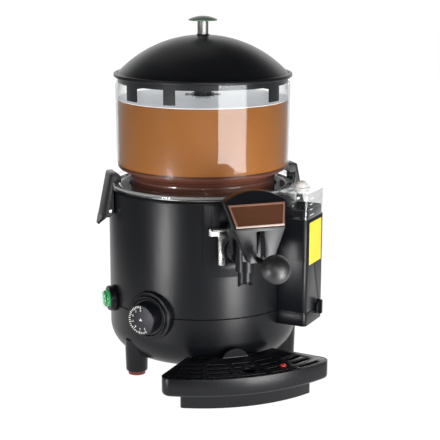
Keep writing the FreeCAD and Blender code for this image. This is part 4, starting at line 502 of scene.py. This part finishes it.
FINISHES = {
    "housing": lambda: moulded_plastic("housing_black", look().housing),
    "lid": lambda: moulded_plastic("lid_black", look().housing, rough=0.36, grain=0.0007),
    "trim": lambda: moulded_plastic("trim_black", look().housing, rough=0.3, grain=0.0006),
    "shield": lambda: moulded_plastic("shield_black", look().housing, rough=0.3, grain=0.0006, gleam=0.36),
    "clip": lambda: moulded_plastic("clip_black", look().housing, rough=0.34, grain=0.0006),
    "tray": lambda: moulded_plastic("tray_black", shade(look().housing, 0.9), rough=0.28, grain=0.0006,
                                    gleam=0.36, matt_above=GRILLE_TOP),
    "gloss": lambda: glossy_plastic("gloss_black", look().gloss, rough=0.12),
    "ball": lambda: moulded_plastic("ball_black", look().gloss, rough=0.46, depth=0.00001, gleam=0.75),
    "knob_cap": lambda: glossy_plastic("knob_cap", look().knob, rough=0.3),
    "white": lambda: glossy_plastic("white_plastic", colour("e6e6e2"), rough=0.25),
    "red": lambda: glossy_plastic("red_plastic", colour("cc3a33"), rough=0.25),
    "panel": lambda: glossy_plastic("panel_film", look().panel, rough=0.4),
    "badge": lambda: glossy_plastic("badge_field", look().badge, rough=0.22),
    # The badge frame: its pale second colour is its painted highlight.
    "rose_trim": lambda: rose_metal("badge_trim", colour("8d6657"), colour("ecd3c8")),
    "dial_face": lambda: metal("dial_face", colour("3c3c3f"), rough=0.4),
    "mark": lambda: glossy_plastic("mark_white", colour("f4f4f2"), rough=0.5),
    "chrome": lambda: metal("fork_chrome", colour("b4b4b1"), rough=0.24, stretch=(1, 1, 0.1)),
    "column": lambda: metal("column_chrome", colour("d8d8d6"), rough=0.14, stretch=(1, 1, 0.1)),
    "steel": lambda: metal("brushed_steel", colour("b9b9b7"), rough=0.28, stretch=(1, 1, 0.06)),
    "pan_steel": lambda: metal("pressed_steel", colour("b0b0ae"), rough=0.32, stretch=(1, 1, 0.2)),
    "motor": lambda: metal("motor_case", colour("77777a"), rough=0.45),
    "rubber": lambda: rubber("seal_rubber", colour("26211f")),
    "foot": lambda: rubber("foot_rubber", colour("8a3b31"), rough=0.6),
    "bowl": lambda: clear_plastic("bowl_clear", (0.93, 0.95, 0.96), haze=0.018, edge=0.85,
                                  flange=(FLANGE_LIP, FLANGE_TOP, SHOULDER_TOP)),
    "window": lambda: clear_plastic("window_clear", (0.9, 0.92, 0.93), haze=0.07, rough=0.05),
    "dome": lambda: clear_plastic("dome_clear", (0.95, 0.97, 0.96), haze=0.06),
    "drink": lambda: drink("chocolate", look().chocolate, look().chocolate_deep, look().neck),
    "froth": lambda: froth("froth", look().froth),
    "lens": lambda: lens("lamp_lens", look().lamp),
}
made = {}


def finish_of(name):
    """The finish of that name, made when it is first needed."""
    if name not in made:
        made[name] = FINISHES[name]()
    return made[name]


# ---------------------------------------------------------------- shapes

def link_object(name, data):
    """A new object in the scene, in place of one that an earlier run left under its name."""
    old = bpy.data.objects.get(name)
    if old:
        bpy.data.objects.remove(old)
    obj = bpy.data.objects.new(name, data)
    bpy.context.scene.collection.objects.link(obj)
    return obj


def mesh_of(bm, name):
    """Turns a finished bmesh into a mesh."""
    mesh = bpy.data.meshes.new(name)
    bm.to_mesh(mesh)
    bm.free()
    return mesh


def soften(bm, limit):
    """Smooth faces, with a crease where they meet at more than the limit in degrees."""
    for face in bm.faces:
        face.smooth = True
    for edge in bm.edges:
        edge.smooth = len(edge.link_faces) == 2 and edge.calc_face_angle(0) < math.radians(limit)


def bevel(bm, edges, offset, segments=2):
    bmesh.ops.bevel(bm, geom=edges, offset=offset, offset_type="OFFSET", segments=segments, profile=0.5,
                    affect="EDGES", clamp_overlap=True, material=-1)


def piece(bm, name, body, finish, replaces=(), limit=35, recalculate=True):
    """Makes an object of a bmesh, with its place in its mesh, and ties it to its body."""
    if recalculate:
        bmesh.ops.recalc_face_normals(bm, faces=bm.faces)
    soften(bm, limit)
    obj = link_object(name, mesh_of(bm, name))
    obj.data.materials.append(finish_of(finish).material)
    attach(obj, body)
    if replaces:
        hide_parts(*replaces)
    return obj


def sharp(edge, limit):
    """Whether two faces meet at an edge at more than the limit in degrees."""
    return len(edge.link_faces) == 2 and edge.calc_face_angle(0) > math.radians(limit)


def dress(node, finish, edge=0.0, limit=32, rounded=None):
    """A smooth copy of a solid in a finish of its own, its sharp edges rounded where an edge size is given.

    Where rounded gives a height and a radius too, the upright corners below that height get that radius.
    """
    bm = bmesh.new()
    bm.from_mesh(frame["nodes"][node].data)
    bmesh.ops.remove_doubles(bm, verts=bm.verts, dist=1e-6)
    if edge:
        flat = math.radians(0.3)
        bmesh.ops.dissolve_limit(bm, angle_limit=flat, verts=bm.verts, edges=bm.edges)
        if rounded:
            height, radius = rounded
            uprights = [e for e in bm.edges if sharp(e, limit)
                        and max(v.co.z for v in e.verts) < height
                        and abs(e.verts[0].co.z - e.verts[1].co.z) > height / 4]
            bevel(bm, uprights, radius, segments=6)
        bevel(bm, [e for e in bm.edges if sharp(e, limit)], edge)
    name = node + "_skin"
    return piece(bm, name, BODY_OF[node], finish, [node], limit, recalculate=False)


def paint(node, finish):
    """Gives a solid that stays as it is its own finish."""
    for slot in frame["nodes"][node].material_slots:
        slot.material = finish_of(finish).material


def lathe(profile, steps=128):
    """A closed profile of (radius, height) points in millimetres, spun about the upright axis."""
    bm = bmesh.new()
    verts = [bm.verts.new((r * MM, 0, z * MM)) for r, z in profile]
    edges = [bm.edges.new(pair) for pair in zip(verts, verts[1:] + verts[:1])]
    bmesh.ops.spin(bm, geom=verts + edges, cent=(0, 0, 0), axis=(0, 0, 1), angle=math.tau, steps=steps,
                   use_merge=True)
    bmesh.ops.remove_doubles(bm, verts=bm.verts, dist=1e-6)
    return bm


def arc(centre, radius, start, end, steps):
    """Points on an arc of a profile, from one angle to another, in degrees."""
    angles = [math.radians(start + (end - start) * i / steps) for i in range(steps + 1)]
    return [(centre[0] + radius * math.cos(a), centre[1] + radius * math.sin(a)) for a in angles]


def slab(bm, width, depth, height, matrix):
    """A box added to a bmesh, in the matrix's own frame."""
    bmesh.ops.create_cube(bm, size=1, matrix=matrix @ Matrix.Diagonal((width, depth, height, 1)))


def numeral(text, size, matrix):
    """A plain numeral as a mesh with a little thickness; in millimetres."""
    curve = bpy.data.curves.new("numeral", "FONT")
    curve.body = text
    curve.size = size
    curve.align_x = "CENTER"
    curve.align_y = "CENTER"
    curve.extrude = 0.12
    curve.resolution_u = 3
    holder = link_object("numeral", curve)
    mesh = bpy.data.meshes.new_from_object(holder)
    bpy.data.objects.remove(holder)
    bpy.data.curves.remove(curve)
    mesh.transform(matrix)
    return mesh


# ---------------------------------------------------------------- the pieces that are looks only

def chocolate(top):
    """The drink up to its level, from the stirrer's tube out to the bowl's wall; in millimetres."""
    foot, neck_top = 192, 257
    neck = [(DRINK_NECK, foot), (DRINK_NECK, neck_top), (101.5, 264.5), (109.5, 267)]
    shoulder = arc((109.8, 271), 3.4, -70, 0, 5)
    rim = [(DRINK_WALL, top - 0.8), (DRINK_WALL - 0.4, top - 0.2)]
    return lathe([(DRINK_TUBE, foot), *neck, *shoulder, *rim, (DRINK_TUBE, top - 0.2)])


def froth_skin(top):
    """A thin skin on the drink, drawn up a little where it meets the wall; in millimetres."""
    surface = top - 0.15
    edge = DRINK_WALL - 0.1
    meniscus = [(DRINK_WALL - 3, surface), (edge, top + 0.2), (edge, top - 0.5), (DRINK_WALL - 1, top - 0.7)]
    return lathe([(DRINK_TUBE, surface), *meniscus, (DRINK_TUBE, top - 1.2)])


def badge_frame():
    """A raised ring between two outlines that widen upwards, laid on the badge; in millimetres.

    An outline is half its width low down, half its width high up and half its height.
    """
    outer = (30, 36, 14.6)
    inner = (27.8, 33.4, 12.2)
    seat, rise, rounding = 1.2, 1.3, 0.28
    bm = bmesh.new()
    for low_half, high_half, half in (outer, inner):
        corners = ((-low_half, -half), (low_half, -half), (high_half, half), (-high_half, half))
        loop = [bm.verts.new((x, y, seat)) for x, y in corners]
        for pair in zip(loop, loop[1:] + loop[:1]):
            bm.edges.new(pair)
    bmesh.ops.bridge_loops(bm, edges=bm.edges[:])
    raised = bmesh.ops.extrude_face_region(bm, geom=bm.faces[:])["geom"]
    bmesh.ops.translate(bm, vec=(0, 0, rise), verts=[v for v in raised if isinstance(v, bmesh.types.BMVert)])
    bevel(bm, bm.edges[:], rounding)
    middle = Vector((0, -211.75, 244.5)) * MM
    lean = math.atan2(15.5, 27)
    tilt = Matrix.Rotation(math.pi / 2 - lean, 4, "X")
    place = Matrix.Translation(middle) @ tilt @ Matrix.Scale(MM, 4)
    bmesh.ops.transform(bm, matrix=place, verts=bm.verts)
    return bm


def dial_disc(place):
    """The dial's round face, made flat and then put in its place; in millimetres."""
    back, front = 19.2, 18.9
    thickness, lift, rounding = 0.5, 0.2, 0.1
    bm = bmesh.new()
    bmesh.ops.create_cone(bm, cap_ends=True, segments=96, radius1=back, radius2=front, depth=thickness,
                          matrix=Matrix.Translation((0, 0, lift)))
    bevel(bm, bm.edges[:], rounding)
    bmesh.ops.transform(bm, matrix=place, verts=bm.verts)
    return bm


def dial_marks(place, ticks):
    """Marks and numerals from the dial's top anticlockwise round its rim, and a pointer; in millimetres."""
    start, sweep = 90, 210
    rim, width, long, short = 18.3, 0.85, 3.6, 2.6
    lift, thickness = 0.5, 0.25
    ring, size, numerals = 12.4, 4.2, 7
    pointer = 2.4
    bm = bmesh.new()
    for i in range(ticks):
        turn = Matrix.Rotation(math.radians(start + sweep * i / (ticks - 1)), 4, "Z")
        length = long if i % 4 == 0 else short
        slab(bm, length, width, thickness, turn @ Matrix.Translation((rim - length / 2, 0, lift)))
    for i in range(numerals):
        angle = math.radians(start + sweep * i / (numerals - 1))
        spot = Matrix.Translation((ring * math.cos(angle), ring * math.sin(angle), lift))
        mesh = numeral(str(i), size, spot)
        bm.from_mesh(mesh)
        bpy.data.meshes.remove(mesh)
    bmesh.ops.create_cone(bm, cap_ends=True, segments=3, radius1=pointer, radius2=pointer, depth=thickness,
                          matrix=Matrix.Translation((0, 0, lift)))
    bmesh.ops.transform(bm, matrix=place, verts=bm.verts)
    return bm


def side_panel(angle, face):
    """The bare plate on the water box's side, a little proud of its face; in millimetres."""
    width, tall, thickness = 40, 56, 0.3
    middle, proud, rounding = 182, 0.1, 0.1
    bm = bmesh.new()
    slab(bm, width, tall, thickness, facing(angle, face + proud, middle))
    bevel(bm, bm.edges[:], rounding * MM, segments=1)
    return bm


def level_marks(angle, face):
    """Lines up the water box's window, each third one of them long; in millimetres."""
    lines, lowest, pitch, left = 4, 220, 7, -20
    long, short, tall, thickness, proud = 12, 8, 0.9, 0.2, 0.1
    bm = bmesh.new()
    for i in range(lines):
        width = long if i % 3 == 0 else short
        spot = facing(angle, face + proud, lowest + i * pitch) @ Matrix.Translation((left + width / 2, 0, 0))
        slab(bm, width, tall, thickness, spot)
    return bm


# ---------------------------------------------------------------- the operators

class DISPENSER_OT_housing(bpy.types.Operator):
    """Dresses the housing's shells, base, legs and everything fixed inside it"""

    bl_idname = "dispenser.housing"
    bl_label = "Housing"

    def execute(self, context):
        edge = sizes().edge
        for node in ("upper_shell", "lower_shell"):
            dress(node, "housing")
        dress("tap_panel", "housing", edge * 1.6)
        for node in ("leg_left", "leg_right", "leg_rear"):
            dress(node, "housing")
        dress("foot_pads", "foot")
        dress("base_plate", "pan_steel")
        dress("base_screws", "steel")
        dress("cable_gland", "trim", edge)
        dress("bain_marie_pan", "pan_steel")
        for node, finish in (
            ("heating_element", "pan_steel"), ("link_pipe", "steel"), ("motor_bracket", "pan_steel"),
            ("gear_motor", "motor"), ("terminal_block", "white"), ("bowl_gasket", "rubber"),
            ("port_seal", "rubber"), ("thermostat_body", "motor"), ("switch_body", "trim"),
        ):
            paint(node, finish)
        return {"FINISHED"}


class DISPENSER_OT_bowl(bpy.types.Operator):
    """Makes the bowl clear and fills it with hot chocolate under a skin of froth"""

    bl_idname = "dispenser.bowl"
    bl_label = "Bowl and drink"

    def execute(self, context):
        top = sizes().fill / MM
        dress("bowl", "bowl", limit=28)
        piece(chocolate(top), "chocolate", "housing", "drink")
        piece(froth_skin(top), "froth_skin", "housing", "froth")
        return {"FINISHED"}


class DISPENSER_OT_lid(bpy.types.Operator):
    """Dresses the lid, its stud and its knob"""

    bl_idname = "dispenser.lid"
    bl_label = "Lid"

    def execute(self, context):
        dress("lid_dome", "lid")
        dress("lid_stud", "steel")
        dress("lid_knob", "knob_cap")
        return {"FINISHED"}


class DISPENSER_OT_stirrer(bpy.types.Operator):
    """Dresses the stirrer's column, blades and paddle, and the shaft that drives it"""

    bl_idname = "dispenser.stirrer"
    bl_label = "Stirrer"

    def execute(self, context):
        dress("stirrer_sleeve", "column")
        dress("stirrer_star", "gloss")
        dress("stirrer_paddle", "gloss")
        dress("drive_shaft", "steel")
        return {"FINISHED"}


class DISPENSER_OT_clips(bpy.types.Operator):
    """Dresses the clips, their pins and their brackets"""

    bl_idname = "dispenser.clips"
    bl_label = "Clips"

    def execute(self, context):
        edge = sizes().edge
        for side in ("left", "right"):
            dress(f"clip_{side}", "clip", edge)
            dress(f"clip_bracket_{side}", "housing", edge)
            dress(f"clip_pin_{side}", "steel")
        return {"FINISHED"}


class DISPENSER_OT_tap(bpy.types.Operator):
    """Dresses the tap, its lever, fork and shield, and frames the bare badge"""

    bl_idname = "dispenser.tap"
    bl_label = "Tap"

    def execute(self, context):
        edge = sizes().edge
        dress("tap_body", "trim")
        dress("valve_cap", "trim")
        dress("valve_plunger", "steel")
        paint("valve_seal", "rubber")
        dress("lever_pin", "steel")
        dress("tap_lever", "trim")
        dress("ball_knob", "ball")
        dress("tap_fork", "chrome", edge)
        dress("tap_shield", "shield", edge * 1.4)
        dress("badge_plate", "badge")
        piece(badge_frame(), "badge_frame", "housing", "rose_trim")
        return {"FINISHED"}


class DISPENSER_OT_dial(bpy.types.Operator):
    """Dresses the thermostat's dial and prints its marks"""

    bl_idname = "dispenser.dial"
    bl_label = "Dial"

    def execute(self, context):
        dress("dial_bezel", "housing", sizes().edge)
        dress("dial_knob", "trim")
        paint("dial_spindle", "steel")
        angle = angle_of("dial_turn")
        height = JOINT_OF["dial_turn"]["pos_m"][2] / MM
        place = facing(angle, face_of("dial_knob", angle), height)
        piece(dial_disc(place), "dial_disc", "dial", "dial_face")
        marks = dial_marks(place, sizes().ticks)
        piece(marks, "dial_marks", "dial", "mark", limit=20)
        return {"FINISHED"}


class DISPENSER_OT_switch(bpy.types.Operator):
    """Dresses the lit power switch"""

    bl_idname = "dispenser.switch"
    bl_label = "Power switch"

    def execute(self, context):
        dress("switch_bezel", "trim", sizes().edge)
        dress("switch_button", "lens")
        dress("switch_cap", "dome")
        return {"FINISHED"}


class DISPENSER_OT_water_box(bpy.types.Operator):
    """Dresses the water box and adds its plain side panel and level marks"""

    bl_idname = "dispenser.water_box"
    bl_label = "Water box"

    def execute(self, context):
        edge = sizes().edge
        dress("water_box", "housing", edge)
        dress("water_window", "window", edge)
        dress("filler_cap", "white")
        dress("drain_plug", "housing", edge)
        angle = angle_of("drain_turn")
        face = face_of("water_box", angle)
        piece(side_panel(angle, face), "side_panel", "housing", "panel")
        piece(level_marks(angle, face), "level_marks", "housing", "mark")
        return {"FINISHED"}


class DISPENSER_OT_tray(bpy.types.Operator):
    """Dresses the drip tray, its grille and its float"""

    bl_idname = "dispenser.tray"
    bl_label = "Drip tray"

    def execute(self, context):
        edge = sizes().edge
        foot_height, corner_radius = 0.02, 0.006
        dress("drip_tray", "tray", edge, rounded=(foot_height, corner_radius))
        dress("tray_grille", "tray", edge)
        dress("tray_float", "red")
        return {"FINISHED"}


class DISPENSER_OT_studio(bpy.types.Operator):
    """Sets the pale floor, the lights and the camera"""

    bl_idname = "dispenser.studio"
    bl_label = "Studio"

    def area_light(self, name, angle, distance, height, width, tall, radiance):
        """An area light at an angle round the machine; its power follows from its radiance and size."""
        light = bpy.data.lights.new(name, "AREA")
        light.shape = "RECTANGLE"
        light.size = width
        light.size_y = tall
        light.energy = radiance * math.pi * width * tall * bpy.context.scene.dispenser_studio.light
        obj = link_object(name, light)
        obj.location = outwards(angle) * distance + Vector((0, 0, height))
        return obj

    def softbox(self, aim, **light):
        """A light that looks at the machine's axis at the height given as its aim."""
        obj = self.area_light(**light)
        looking = Vector((0, 0, aim)) - obj.location
        obj.rotation_euler = looking.to_track_quat("-Z", "Y").to_euler()

    def floor_strip(self, angle, near, far, width, radiance):
        """A narrow light that lies on the floor, points up and runs away from the machine."""
        name = f"strip_{angle}_{near}"
        lift = 0.002
        obj = self.area_light(name, angle, (near + far) / 2, lift, width, far - near, radiance)
        obj.rotation_euler = (math.pi, 0, math.radians(angle))

    def glowing_floor(self, studio):
        """Paper that glows: white where the camera sees it under and behind the machine, else dim."""
        front, front_end = 0.3, 0.6
        side, side_end = 0.02, 0.4
        floor = Finish("floor_paper")
        x, y = floor.coordinate(0), floor.coordinate(1)
        across, along = math.sin(studio.azimuth), math.cos(studio.azimuth)
        towards = x * across - y * along
        drop = studio.height * math.sin(studio.pitch)
        depth = (studio.distance - towards) * math.cos(studio.pitch) + drop
        middle = depth * (SHIFT * SENSOR / studio.lens)
        half_view = depth * (SENSOR / studio.lens / 2)
        beside = abs(x * along + y * across - middle) - half_view
        white = (1 - floor.ramp(towards, front, front_end)) * (1 - floor.ramp(beside, side, side_end))
        glow = studio.dim_floor + white * (1 - studio.dim_floor)
        tone = floor.node("VectorMath", {"operation": "SCALE"}, {0: (1.0, 1.0, 1.0), "Scale": glow})
        return floor.set({
            "Base Color": colour("3c3c3c"),
            "Roughness": 0.9,
            "Emission Color": tone,
            "Emission Strength": 1.0,
        })

    def add_floor(self, studio):
        bm = bmesh.new()
        bmesh.ops.create_grid(bm, x_segments=1, y_segments=1, size=14)
        ground = link_object("floor", mesh_of(bm, "floor"))
        ground.data.materials.append(self.glowing_floor(studio).material)

    def add_sky(self, context):
        """A faint even light from everywhere."""
        world = bpy.data.worlds.new("studio")
        context.scene.world = world
        world.use_nodes = True
        sky = world.node_tree.nodes["Background"]
        sky.inputs["Color"].default_value = (0.97, 0.98, 1, 1)
        sky.inputs["Strength"].default_value = 0.1

    def add_camera(self, context, studio):
        camera = bpy.data.cameras.new("camera")
        camera.lens = studio.lens
        camera.sensor_width = SENSOR
        camera.shift_x = SHIFT
        holder = link_object("camera", camera)
        holder.location = (math.sin(studio.azimuth) * studio.distance,
                           -math.cos(studio.azimuth) * studio.distance, studio.height)
        holder.rotation_euler = (math.pi / 2 - studio.pitch, 0, studio.azimuth)
        context.scene.camera = holder

    def execute(self, context):
        studio = context.scene.dispenser_studio
        self.add_floor(studio)
        self.add_sky(context)
        for light in SOFTBOXES:
            self.softbox(**light)
        for light in FLOOR_STRIPS:
            self.floor_strip(**light)
        self.add_camera(context, studio)
        context.scene.view_settings.view_transform = "Standard"
        return {"FINISHED"}


class DISPENSER_PT_panel(bpy.types.Panel):
    """Lists the dispenser's colours, sizes, studio and operators"""

    bl_idname = "DISPENSER_PT_panel"
    bl_label = "Hot chocolate dispenser"
    bl_space_type = "VIEW_3D"
    bl_region_type = "UI"
    bl_category = "Dispenser"

    def draw(self, context):
        layout = self.layout
        for group_name, _ in GROUPS:
            group = getattr(context.scene, group_name)
            box = layout.box()
            for name in group.bl_rna.properties.keys():
                if name not in ("rna_type", "name"):
                    box.prop(group, name)
        for operator in OPERATORS:
            layout.operator(operator.bl_idname)


GROUPS = (
    ("dispenser_colours", DispenserColours),
    ("dispenser_sizes", DispenserSizes),
    ("dispenser_studio", DispenserStudio),
)
OPERATORS = (
    DISPENSER_OT_housing, DISPENSER_OT_bowl, DISPENSER_OT_lid, DISPENSER_OT_stirrer, DISPENSER_OT_clips,
    DISPENSER_OT_tap, DISPENSER_OT_dial, DISPENSER_OT_switch, DISPENSER_OT_water_box, DISPENSER_OT_tray,
    DISPENSER_OT_studio,
)


def register():
    for name, group in GROUPS:
        bpy.utils.register_class(group)
        setattr(bpy.types.Scene, name, bpy.props.PointerProperty(type=group))
    for operator in OPERATORS:
        bpy.utils.register_class(operator)
    bpy.utils.register_class(DISPENSER_PT_panel)


def unregister():
    bpy.utils.unregister_class(DISPENSER_PT_panel)
    for operator in reversed(OPERATORS):
        bpy.utils.unregister_class(operator)
    for name, group in reversed(GROUPS):
        delattr(bpy.types.Scene, name)
        bpy.utils.unregister_class(group)


def main():
    """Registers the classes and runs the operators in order."""
    register()
    for operator in OPERATORS:
        group, name = operator.bl_idname.split(".")
        getattr(getattr(bpy.ops, group), name)()
    bpy.context.view_layer.update()


if __name__ == "__main__":
    main()
